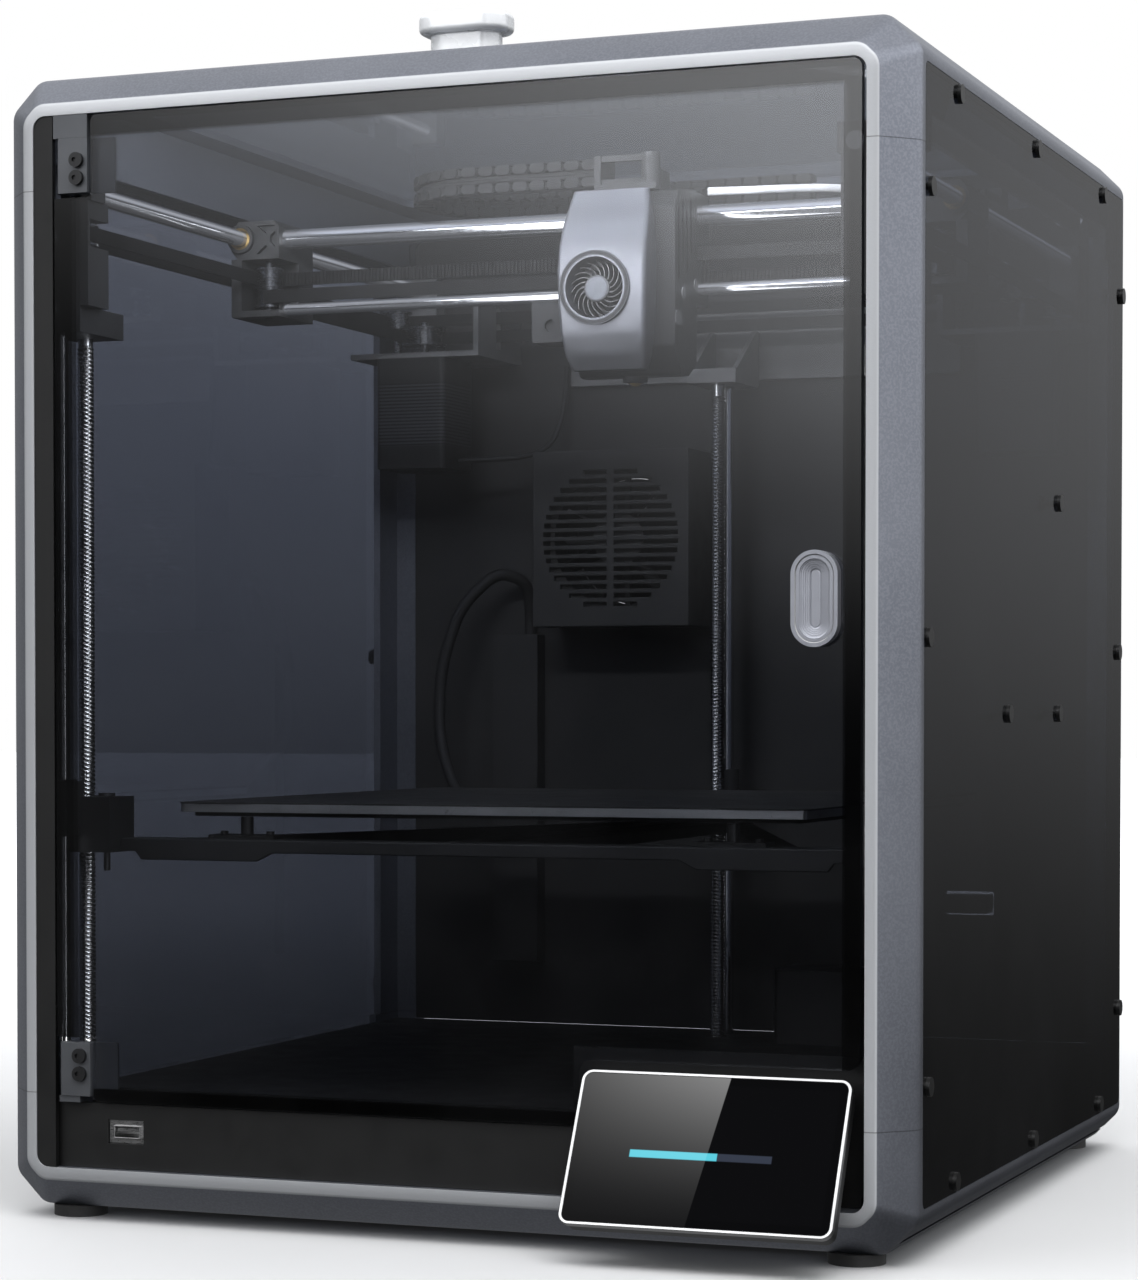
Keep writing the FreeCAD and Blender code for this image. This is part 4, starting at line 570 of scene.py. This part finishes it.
def round_box(x0, x1, y0, y1, r, seg=5):
    pts = []
    for cx, cy, a0 in ((x1 - r, y1 - r, 0), (x0 + r, y1 - r, 90), (x0 + r, y0 + r, 180), (x1 - r, y0 + r, 270)):
        for k in range(seg + 1):
            a = math.radians(a0 + 90.0 * k / seg)
            pts.append((cx + r * math.cos(a), cy + r * math.sin(a)))
    return pts


XY = lambda a, b, h: (a, b, h)
XZ = lambda a, b, h: (a, h, b)
YZ = lambda a, b, h: (h, a, b)

# lead screws: four-start thread of 2 mm pitch, with the toothed wheel at the foot
for label, sx, sy, body in (("lead_screw_front_left", -200.0, 52.0, "screw_left"), ("lead_screw_front_right", 200.0, 52.0, "screw_right"), ("lead_screw_rear", 0.0, 400.0, "screw_rear")):
    s = Soup()
    cols, step = 24, 0.5
    zs = np.arange(27.0, 403.0, step)
    th = np.linspace(0, 2 * math.pi, cols, endpoint=False)
    Z, T = np.meshgrid(zs, th, indexing="ij")
    ph = ((Z + 8.0 * T / (2 * math.pi)) / 2.0) % 1.0
    tri = np.abs(ph * 2 - 1)
    rad = 3.15 + 0.83 * np.clip((tri - 0.25) / 0.4, 0, 1)
    Xs, Ys = sx + rad * np.cos(T), sy + rad * np.sin(T)
    vs = np.stack([Xs, Ys, Z], -1).reshape(-1, 3).tolist()
    fs = []
    rows = len(zs)
    for i in range(rows - 1):
        a, b = i * cols, (i + 1) * cols
        for k in range(cols):
            j = (k + 1) % cols
            fs.append((a + k, a + j, b + j, b + k))
    fs.append(tuple(range(cols))[::-1]); fs.append(tuple(range((rows - 1) * cols, rows * cols)))
    s.add(vs, fs)
    s.lathe([(3.6, 402.9), (3.6, 411.6), (3.3, 412.0)], (sx, sy, 0), steps=24)
    s.lathe([(3.5, 8.0), (3.9, 8.4), (3.9, 14.8), (9.3, 14.8), (9.3, 16.0), (3.9, 16.0)], (sx, sy, 0), steps=40)
    teeth = []
    for k in range(25):
        a = 2 * math.pi * k / 25
        for da, r in ((-0.045, 7.25), (-0.03, 8.0), (0.09, 8.0), (0.105, 7.25)):
            teeth.append((sx + r * math.cos(a + da), sy + r * math.sin(a + da)))
    s.prism(teeth, 16.0, 24.0, XY)
    s.lathe([(3.9, 24.0), (9.3, 24.0), (9.3, 25.2), (5.2, 25.2), (5.2, 26.9), (3.5, 27.1)], (sx, sy, 0), steps=40)
    s.make("thread_" + label, MATS["screw_thread_steel"], "screw_thread_steel", body, [label], recalc=True)


def toothed(axis, a, b, c0, c1, z0, z1, tooth_low):
    """Straight run of 2 mm pitch belt: c0..c1 is its thickness, the teeth face the low or the high side."""
    s = Soup()
    n = max(2, int(round((b - a) / 2.0)))
    pit = (b - a) / n
    back, root = (c1, c0 + 0.62) if tooth_low else (c0, c1 - 0.62)
    tip = c0 if tooth_low else c1
    lo, hi = [], []
    for k in range(n):
        x = a + k * pit
        lo += [(x, root), (x + 0.25 * pit, root), (x + 0.36 * pit, tip), (x + 0.74 * pit, tip), (x + 0.85 * pit, root)]
    lo.append((b, root))
    loop = lo + [(b, back), (a, back)]
    # walls
    vs, fs = [], []
    for h in (z0, z1):
        vs += [((p, q, h) if axis == "x" else (q, p, h)) for p, q in loop]
    m = len(loop)
    fs += [(i, (i + 1) % m, m + (i + 1) % m, m + i) for i in range(m)]
    fs += [tuple(range(m))[::-1], tuple(range(m, 2 * m))]
    s.add(vs, fs)
    return s


UPZ, LOZ, BELT_W, BELT_T, HX = 451.8, 441.6, 6.6, 1.4, 27.0
k = 0
for level, y_left, y_right in ((UPZ, 206.6, 193.0), (LOZ, 193.0, 206.6)):
    for side, x0, x1, y0 in (("left", -176.2, HX - 4, y_left), ("right", HX + 4, 176.2, y_right)):
        o = toothed("x", x0, x1, y0, y0 + BELT_T, level - BELT_W / 2, level + BELT_W / 2, y0 > 200).make(
            "cross_belt_%s_%d" % (side, int(level)), MATS["belt_rubber"], "belt_rubber", None, ["x_belts"] if k == 0 else ())
        if k:
            o["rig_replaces"] = ["x_belts"]
        k += 1
        if side == "left":
            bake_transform(o)
        else:
            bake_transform(o)
k = 0
IX, IR, MY, CY = 190.3, 6.6, 391.0, 200.5
for side, front, back in ((-1, UPZ, LOZ), (1, LOZ, UPZ)):
    xs = sorted([side * (IX - IR), side * (IX - IR - BELT_T)])
    for y0, y1, lev in ((31.02, CY, front), (CY + 0.02, MY - 0.02, back)):
        o = toothed("y", y0, y1, xs[0], xs[1], lev - BELT_W / 2, lev + BELT_W / 2, side < 0).make(
            "side_belt_%s_%d" % ("l" if side < 0 else "r", int(y0)), MATS["belt_rubber"], "belt_rubber", None, ["belt_side_runs"] if k == 0 else ())
        if k:
            o["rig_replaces"] = ["belt_side_runs"]
        k += 1
        if y0 < 100:
            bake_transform(o)
        else:
            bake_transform(o)

# cable chain on its side: two rows of link plates with cables between them
path = []
X_NEAR, X_FAR, CXC, YN, YF = HX - 16.02, 96.0, -58.0, 186.0, 264.0
x = X_NEAR
while x > CXC:
    path.append((x, YN, 180.0)); x -= 1.0
for a in np.arange(0.0, 180.0, 1.5):
    t = math.radians(270 - a)
    path.append((CXC + 39.0 * math.cos(t), 225.0 + 39.0 * math.sin(t), 180.0 - a))
x = CXC
while x <= X_FAR + 0.01:
    path.append((x, YF, 0.0)); x += 1.0
dist = [0.0]
for p, q in zip(path, path[1:]):
    dist.append(dist[-1] + math.hypot(q[0] - p[0], q[1] - p[1]))
total = dist[-1]


def along(d):
    d = min(max(d, 0.0), total)
    i = min(len(dist) - 2, max(0, int(np.searchsorted(dist, d)) - 1))
    f = (d - dist[i]) / max(1e-9, dist[i + 1] - dist[i])
    p, q = path[i], path[i + 1]
    return p[0] + f * (q[0] - p[0]), p[1] + f * (q[1] - p[1]), math.atan2(q[1] - p[1], q[0] - p[0])


links = 38
pitch = total / links
D_NEAR = X_NEAR - CXC
D_BEND = D_NEAR + math.pi * 39.0
for part, d0, d1 in (("near", 0.0, D_NEAR), ("bend", D_NEAR, D_BEND), ("far", D_BEND, total)):
    plates, bars, wires = Soup(), Soup(), Soup()
    for i in range(links):
        if not (d0 <= (i + 0.5) * pitch < d1):
            continue
        cx, cy, an = along((i + 0.5) * pitch)
        ca, sa = math.cos(an), math.sin(an)

        def here(a, b, h, cx=cx, cy=cy, ca=ca, sa=sa):
            return (cx + a * ca - b * sa, cy + a * sa + b * ca, h)
        wide = round_box(-pitch * 0.42, pitch * 0.42, -4.0, 4.0, 2.0, 4)
        neck = round_box(-pitch * 0.60, pitch * 0.60, -3.4, 3.4, 3.2, 5)
        for z0, z1, n0, n1 in ((485.3, 490.2, 486.2, 489.2), (493.8, 498.7, 494.8, 497.8)):
            plates.prism(wide, z0, z1, here)
            plates.prism(neck, n0, n1, here)
            # rounded cheeks on both sides of the link
            cheek = round_box(-pitch * 0.43, pitch * 0.43, z0 + 0.1, z1 - 0.1, 2.1, 5)
            for b0, b1 in ((-4.95, -3.9), (3.9, 4.95)):
                plates.prism(cheek, b0, b1, lambda a, h, b, here=here: here(a, b, h))
        bars.prism([(-1.4, -4.6), (1.4, -4.6), (1.4, -3.8), (-1.4, -3.8)], 490.0, 494.0, here)
        for z0, z1 in ((485.04, 485.4), (498.6, 498.98)):
            disc = [(pitch * 0.5 + 1.9 * math.cos(2 * math.pi * j / 14), 1.9 * math.sin(2 * math.pi * j / 14)) for j in range(14)]
            if i < links - 1:
                plates.prism(disc, z0, z1, here)
    for off, zz, rr in ((-1.9, 491.2, 1.3), (0.4, 492.9, 1.5), (2.2, 491.3, 1.1)):
        line = []
        steps = max(2, int(round((d1 - d0) / 3.0)))
        for j in range(steps + 1):
            d = d0 + (d1 - d0) * j / steps
            cx, cy, an = along(d)
            line.append((cx - off * math.sin(an), cy + off * math.cos(an), zz + 0.35 * math.sin(d * 0.11 + off)))
        wires.tube(line, rr, 10)
    made = [plates.make("chain_links_" + part, MATS["chain_plastic"], "chain_plastic", None, ["cable_chain"], bevel=0.00025),
            bars.make("chain_bridges_" + part, MATS["chain_plastic"], "chain_plastic", None),
            wires.make("chain_cables_" + part, MATS["cable_jacket"], "cable_jacket", None)]
    for o in made:
        o["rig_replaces"] = ["cable_chain"]
        if part == "near":
            # half of the head's travel is left where the straight run meets the bend
            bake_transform(o)
        elif part == "bend":
            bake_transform(o)
        else:
            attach(o, "gantry")

# bronze bushes at the front of the gantry blocks
bush = surface("bush_bronze", shade((168, 140, 88)), 0.32, 0.9)
s = Soup()
for sg in (-1, 1):
    s.lathe([(4.15, 188.45), (5.6, 188.45), (5.6, 188.75), (4.15, 188.75)], (sg * 187.0, 0, 471.0), "y", 36)
    s.f = s.f[:-2]
s.make("bush_rings", bush, "carriage_plastic", "gantry")

# cooling fan wheel with swept blades
s = Soup()
FX, FZ = 24.0, 431.0
s.lathe([(5.6, 145.0), (6.3, 145.35), (6.6, 146.2), (6.6, 154.6), (13.6, 154.6), (13.6, 156.0), (6.0, 156.0)], (FX, 0, FZ), "y", 48)
s.lathe([(4.55, 144.9), (4.75, 144.9), (4.75, 145.2), (4.55, 145.2)], (FX, 0, FZ), "y", 48)
for k in range(19):
    a0 = 2 * math.pi * k / 19
    up, dn = [], []
    for j in range(7):
        t = j / 6.0
        r = 6.4 + 6.9 * t
        a = a0 + math.radians(36) * (t ** 1.3)
        w = 0.36 / r
        up.append((r * math.cos(a + w), r * math.sin(a + w)))
        dn.append((r * math.cos(a - w), r * math.sin(a - w)))
    loop = up + dn[::-1]
    s.prism([(FX + p, FZ + q) for p, q in loop], 145.9, 154.7, XZ)
s.make("fan_wheel", MATS["fan_plastic"], "fan_plastic", "cooling_fan", ["fan_impeller"])

# fine bright rings round the mouth of the fan
s = Soup()
for r in (15.5, 17.6):
    ring = []
    for k in range(73):
        t = 2 * math.pi * k / 72
        ring.append((FX + r * math.cos(t), 141.45, FZ + r * math.sin(t)))
    s.tube(ring[:-1] + [ring[0]], 0.22, 8)
s.make("fan_rings", MATS["bezel_metal"], "toolhead_silver", "toolhead")

# painted shade: a flat near-black band between the bright rings stands in for the groove
s = Soup()
s.lathe([(15.75, 141.36), (17.35, 141.36), (17.35, 141.6), (15.75, 141.6)], (FX, 0, FZ), "y", 72)
s.f = s.f[:-2]
s.make("fan_groove_shade", MATS["toolhead_black"], "toolhead_black", "toolhead")
s = Soup()
s.lathe([(5.2, 144.75), (5.5, 144.85), (5.7, 145.1), (5.7, 145.3)], (FX, 0, FZ), "y", 48)
s.make("fan_hub_cap", surface("hub_cap", shade((84, 86, 90)), 0.5, 0.1), "fan_plastic", "cooling_fan")

# slots, a screw and a latch on the right flank of the head; the slots are thin near-black pieces, painted shade for the
# hollows
bx0, bx1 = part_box("toolhead_body")
fx = bx1[0] * 1000.0
s, s2 = Soup(), Soup()
for yy, za, zb in ((163.0, 436.0, 470.0), (169.0, 446.0, 474.0), (175.0, 440.0, 470.0), (181.0, 450.0, 476.0)):
    s.prism(round_box(yy - 0.9, yy + 0.9, za, zb, 0.85, 4), fx - 0.3, fx + 0.12, YZ)
for yy, zz in ((170.0, 430.0), (188.0, 436.0)):
    s2.prism([(yy + 3.0 * math.cos(2 * math.pi * j / 20), zz + 3.0 * math.sin(2 * math.pi * j / 20)) for j in range(20)], fx - 0.3, fx + 0.5, YZ)
s2.prism(round_box(158.0, 168.0, 414.0, 421.0, 2.2, 4), fx - 0.3, fx + 0.35, YZ)
# painted shade: near-black pieces laid on the flank where the slots are
s.make("head_slot_shades", surface("slot_shadow", shade(8), 0.9, grain=(900, 0.2)), "toolhead_black", "toolhead")
s2.make("head_fixings", MATS["bracket_steel"], "toolhead_black", "toolhead", bevel=0.0003)

# pull on the door: a chamfered rim and stepped hollow
def nested(levels, x0, x1, z0, z1, r):
    """Rounded outlines inset by each step, joined from front to back; levels hold (inset, y)."""
    s = Soup()
    rows = []
    for d, y in levels:
        rr = max(0.6, r - d)
        loop = round_box(x0 + d, x1 - d, z0 + d, z1 - d, rr, 10)
        row = []
        for a, b in loop:
            row.append(len(s.v)); s.v.append((a, y, b))
        rows.append(row)
    n = len(rows[0])
    for a, b in zip(rows, rows[1:]):
        for k in range(n):
            s.f.append((a[k], a[(k + 1) % n], b[(k + 1) % n], b[k]))
    s.f.append(tuple(rows[-1]))
    return s


pull = nested([(0.0, -2.2), (0.05, -3.2), (0.55, -3.82), (1.1, -3.95), (1.75, -3.75), (2.1, -3.3)], 166.6, 186.9, 256.9, 297.3, 10.1)
pull.f.pop()
pull.make("pull_rim", MATS["bezel_metal"], "dark_gloss", "door", recalc=False)
flat = nested([(2.0, -3.35), (2.05, -3.5), (3.5, -3.5), (3.55, -3.2)], 166.6, 186.9, 256.9, 297.3, 10.1)
flat.f.pop()
flat.make("pull_land", MATS["dark_gloss"], "dark_gloss", "door", recalc=False)
lv, y = [(3.5, -3.3)], -3.3
for j in range(5):
    d = 3.7 + j * 0.85
    lv += [(d, -3.25 + 0.34 * j), (d + 0.55, -3.25 + 0.34 * j + 0.05), (d + 0.62, -3.25 + 0.34 * (j + 1))]
lv += [(8.0, -1.5), (8.35, -1.75)]
hollow = nested(lv, 166.6, 186.9, 256.9, 297.3, 10.1)
hollow.make("pull_hollow", MATS["dark_gloss"], "dark_gloss", "door", recalc=False)

# dark foam-textured disc behind the exhaust fan, in the rear panel's opening: painted shade for the dark space behind
# the grille
s = Soup()
s.lathe([(10.0, 436.5), (35.6, 436.5), (35.6, 438.0), (10.0, 438.0)], (-61.0, 0, 326.0), "y", 64)
shade_pad = surface("exhaust_shade_foam", shade(20), 0.95, grain=(700, 0.9))
s.make("exhaust_shade_disc", shade_pad, "black_plastic", "chassis")

# filament tubes and the bed lead, laid as fixed curved tubes
def bent(points, radii_share=0.45):
    """Straight runs joined by tangent arcs."""
    Q = [Vector(p) for p in points]
    runs = [(b - a).length for a, b in zip(Q, Q[1:])]
    out = [Q[0]]
    for i in range(1, len(Q) - 1):
        u = (Q[i] - Q[i - 1]).normalized(); w = (Q[i + 1] - Q[i]).normalized()
        turn = u.angle(w)
        cut = 0.45 * min(runs[i - 1], runs[i])
        a, b = Q[i] - u * cut, Q[i] + w * cut
        n = 8
        for j in range(n + 1):
            t = j / n
            out.append(a.lerp(Q[i], t).lerp(Q[i].lerp(b, t), t))
    out.append(Q[-1])
    return out


TUBE_F = [(59.0, 207.0, 483.8), (72.0, 214.0, 484.5), (90.0, 228.0, 486.5), (108.0, 245.0, 488.5), (122.0, 262.0, 489.0)]
TUBE_R = [(122.1, 262.122, 489.004), (133.0, 275.4, 489.3), (144.0, 305.0, 488.0), (150.0, 350.0, 482.0), (151.5, 390.0, 475.0), (150.0, 418.0, 470.6), (150.0, 440.0, 470.0)]
LEAD = [(-118.0, 369.0, 174.0), (-148.0, 381.0, 181.0), (-166.0, 396.0, 214.0), (-166.0, 399.0, 254.0), (-155.0, 403.0, 290.0), (-136.0, 412.0, 309.0), (-123.0, 424.0, 304.0), (-123.0, 431.2, 286.0), (-124.0, 431.2, 262.0)]
for nm, pts, rad, node, slotname, a, b, st, en in (
        ("tube_front", TUBE_F, 2.0, "filament_tube_front", "tube_ptfe", "toolhead", "gantry", (59, 207, 484), (122, 262, 489)),
        ("tube_rear", TUBE_R, 2.0, "filament_tube_rear", "tube_ptfe", "gantry", "chassis", (122, 262, 489), (150, 418, 470)),
        ("bed_lead", LEAD, 3.4, "bed_cable", "cable_jacket", "bed", "chassis", (-120, 400, 174), (-120, 400, 275))):
    s = Soup()
    s.tube(bent(pts), rad - 0.01, 18)
    o = s.make(nm, MATS[slotname], slotname, None, [node])
    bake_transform(o)

# ------------------------------------------------------------------------------------------------
# stage, light and camera
# ------------------------------------------------------------------------------------------------
def plain_mesh(name, verts, faces, mat):
    me = bpy.data.meshes.new(name)
    me.from_pydata([tuple(v) for v in verts], [], faces)
    me.update()
    o = bpy.data.objects.new(name, me)
    scene.collection.objects.link(o)
    me.materials.append(mat)
    return o


ft = Tree("stage_floor")
geo = ft.noise(3.0, 3.0)
ft.feed(ft.bsdf.inputs["Base Color"], ft.mix(ft.ramp(geo, 0.3, 0.7), (0.645, 0.645, 0.65), (0.675, 0.675, 0.68)))
ft.bsdf.inputs["Roughness"].default_value = 0.65
far = ft.add("ShaderNodeVectorMath", operation="LENGTH")
ft.link(ft.pos, far.inputs[0])
# painted light: the floor glows more the farther it lies from the machine, fading to white away from it and staying
# darker close to it
ft.bsdf.inputs["Emission Color"].default_value = (1, 1, 1, 1)
ft.feed(ft.bsdf.inputs["Emission Strength"], ft.smooth(far.outputs["Value"], 0.45, 2.6, 0.0, 0.9))
ft.bsdf.inputs["Specular IOR Level"].default_value = 0.25
R = 14.0
floor = plain_mesh("stage_floor", [(-R, -R, 0), (R, -R, 0), (R, R, 0), (-R, R, 0)], [(0, 1, 2, 3)], ft.mat)
floor.visible_glossy = False
floor.visible_diffuse = False

world = bpy.data.worlds.new("studio")
scene.world = world
world.use_nodes = True
wn = world.node_tree
wn.nodes.clear()


def wadd(kind, **p):
    n = wn.nodes.new(kind)
    for k, v in p.items():
        setattr(n, k, v)
    return n


def wmath(op, a, b=None):
    n = wadd("ShaderNodeMath", operation=op)
    for i, v in enumerate((a, b)):
        if v is None:
            continue
        if isinstance(v, (int, float)):
            n.inputs[i].default_value = v
        else:
            wn.links.new(v, n.inputs[i])
    return n.outputs[0]


def wrange(v, a, b, c, d):
    n = wadd("ShaderNodeMapRange", clamp=True, interpolation_type="SMOOTHSTEP")
    wn.links.new(v, n.inputs["Value"])
    for k, x in zip(("From Min", "From Max", "To Min", "To Max"), (a, b, c, d)):
        n.inputs[k].default_value = x
    return n.outputs["Result"]


co = wadd("ShaderNodeTexCoord")
sep = wadd("ShaderNodeSeparateXYZ")
wn.links.new(co.outputs["Generated"], sep.inputs[0])
dx, dy, dz = sep.outputs
ahead = wrange(dy, -0.15, -0.75, 0.0, 1.0)      # towards the camera's side
behind = wrange(dy, 0.1, 0.8, 0.0, 1.0)
right = wrange(dx, 0.35, 0.95, 0.0, 1.0)
left = wrange(dx, -0.35, -0.95, 0.0, 1.0)
high = wrange(dz, 0.25, 0.8, 0.0, 1.0)
slant = wmath("ADD", dz, wmath("MULTIPLY", wmath("ADD", dx, 0.28), 0.47))
g1 = wmath("MULTIPLY", wmath("MULTIPLY", ahead, wmath("POWER", wrange(slant, -0.035, 0.21, 0.0, 1.0), 1.7)), 3.9)
g1 = wmath("MULTIPLY", g1, wrange(dx, 0.25, 0.75, 1.0, 0.35))
# little of it towards the front right, so the side panels stay dark at a low angle
dip = wmath("MULTIPLY", wrange(dx, -0.12, 0.02, 0.0, 1.0), wrange(dx, 0.30, 0.48, 1.0, 0.0))
dip = wmath("MULTIPLY", dip, wrange(dy, -0.92, -0.82, 1.0, 0.0))
g1 = wmath("MULTIPLY", g1, wmath("SUBTRACT", 1.0, wmath("MULTIPLY", dip, 0.88)))
g2 = wmath("MULTIPLY", wmath("MULTIPLY", right, wrange(dz, -0.16, 0.34, 0.02, 1.0)), 3.1)
g6 = wrange(dz, -0.35, -0.8, 0.0, 0.28)
g3 = wmath("MULTIPLY", high, 1.0)
g4 = wmath("MULTIPLY", left, 0.28)
g5 = wmath("MULTIPLY", wmath("MULTIPLY", behind, wrange(dz, -0.14, 0.20, 0.05, 1.0)), 0.42)
gloss = wmath("ADD", wmath("ADD", wmath("MAXIMUM", g1, g2), wmath("ADD", g3, g4)), wmath("ADD", wmath("ADD", g5, g6), 0.012))
lp = wadd("ShaderNodeLightPath")
bg_cam, bg_gloss, bg_diff = wadd("ShaderNodeBackground"), wadd("ShaderNodeBackground"), wadd("ShaderNodeBackground")
bg_cam.inputs["Color"].default_value = (1.0, 1.0, 1.0, 1); bg_cam.inputs["Strength"].default_value = 1.0
bg_gloss.inputs["Color"].default_value = (0.97, 0.98, 1.0, 1)
wn.links.new(gloss, bg_gloss.inputs["Strength"])
bg_diff.inputs["Color"].default_value = (0.96, 0.98, 1.0, 1)
wn.links.new(wrange(dz, -0.15, 0.85, 0.05, 1.0), bg_diff.inputs["Strength"])
m1, m2, wo = wadd("ShaderNodeMixShader"), wadd("ShaderNodeMixShader"), wadd("ShaderNodeOutputWorld")
wn.links.new(lp.outputs["Is Glossy Ray"], m1.inputs[0])
wn.links.new(bg_diff.outputs[0], m1.inputs[1]); wn.links.new(bg_gloss.outputs[0], m1.inputs[2])
wn.links.new(lp.outputs["Is Camera Ray"], m2.inputs[0])
wn.links.new(m1.outputs[0], m2.inputs[1]); wn.links.new(bg_cam.outputs[0], m2.inputs[2])
wn.links.new(m2.outputs[0], wo.inputs[0])


def area(name, loc, aim, w, h, power, color=(1, 1, 1), glossy=False):
    l = bpy.data.lights.new(name, "AREA")
    l.shape, l.size, l.size_y, l.energy, l.color = "RECTANGLE", w, h, power, color
    o = bpy.data.objects.new(name, l)
    o.location = loc
    o.rotation_mode = "QUATERNION"
    o.rotation_quaternion = (Vector(aim) - Vector(loc)).to_track_quat("-Z", "Y")
    o.visible_camera = False
    o.visible_glossy = glossy
    scene.collection.objects.link(o)
    return o


area("key_top", (0.9, -1.2, 2.4), (0, 0, 0.3), 1.8, 1.2, 26)
area("floor_fill", (0.2, -0.4, 3.6), (0.2, -0.2, 0), 5.0, 5.0, 120)
area("inside_front", P(0, 40, 500), P(10, 300, 380), 0.30, 0.02, 0.4, (0.95, 0.97, 1.0), True)
area("inside_top", P(0, 200, 512), P(0, 230, 100), 0.30, 0.28, 0.55, (0.95, 0.97, 1.0))
fill = area("inside_fill", P(0, 30, 505), P(0, 400, 440), 0.34, 0.03, 2.0, (0.95, 0.97, 1.0))
fill.data.spread = math.radians(110)
head_key = area("head_key", P(-10, 20, 452), P(27, 150, 436), 0.24, 0.16, 0.34, (0.98, 0.985, 1.0), True)
window = area("inside_window", P(-60, 14, 255), P(-60, 300, 255), 0.15, 0.42, 1.5, (0.96, 0.98, 1.0), True)
window.visible_diffuse = False
shiny = bpy.data.collections.new("shiny")
for o in list(scene.objects):
    if o.name.startswith("thread_") or o.name in (nodes["guide_rods"].name, nodes["x_rods"].name, nodes["nozzle"].name):
        shiny.objects.link(o)
for o in (window, bpy.data.objects["inside_front"]):
    o.light_linking.receiver_collection = shiny
head = bpy.data.collections.new("head")
for o in list(scene.objects):
    if o.name.startswith("fan_") or o.name == nodes["toolhead_cover"].name:
        head.objects.link(o)
head_key.light_linking.receiver_collection = head
knob_key = area("knob_key", (-0.25, -1.1, 0.72), (0.0, -0.15, 0.54), 0.4, 0.4, 3.0)
knob = bpy.data.collections.new("knob")
knob.objects.link(nodes["lid_knob"])
knob_key.light_linking.receiver_collection = knob

cam = bpy.data.cameras.new("camera")
camo = bpy.data.objects.new("camera", cam)
scene.collection.objects.link(camo)
cam.sensor_width = 36.0
cam.lens = 92.296
cam.shift_x, cam.shift_y = 0.01988, 0.11818
camo.location = (0.573352, -1.321757 - YM / 1000.0, 0.236043)
camo.rotation_euler = (math.radians(90 - 1.441), 0.0, math.radians(21.454))
cam.clip_start, cam.clip_end = 0.05, 60
scene.camera = camo
scene.view_settings.view_transform = "Standard"
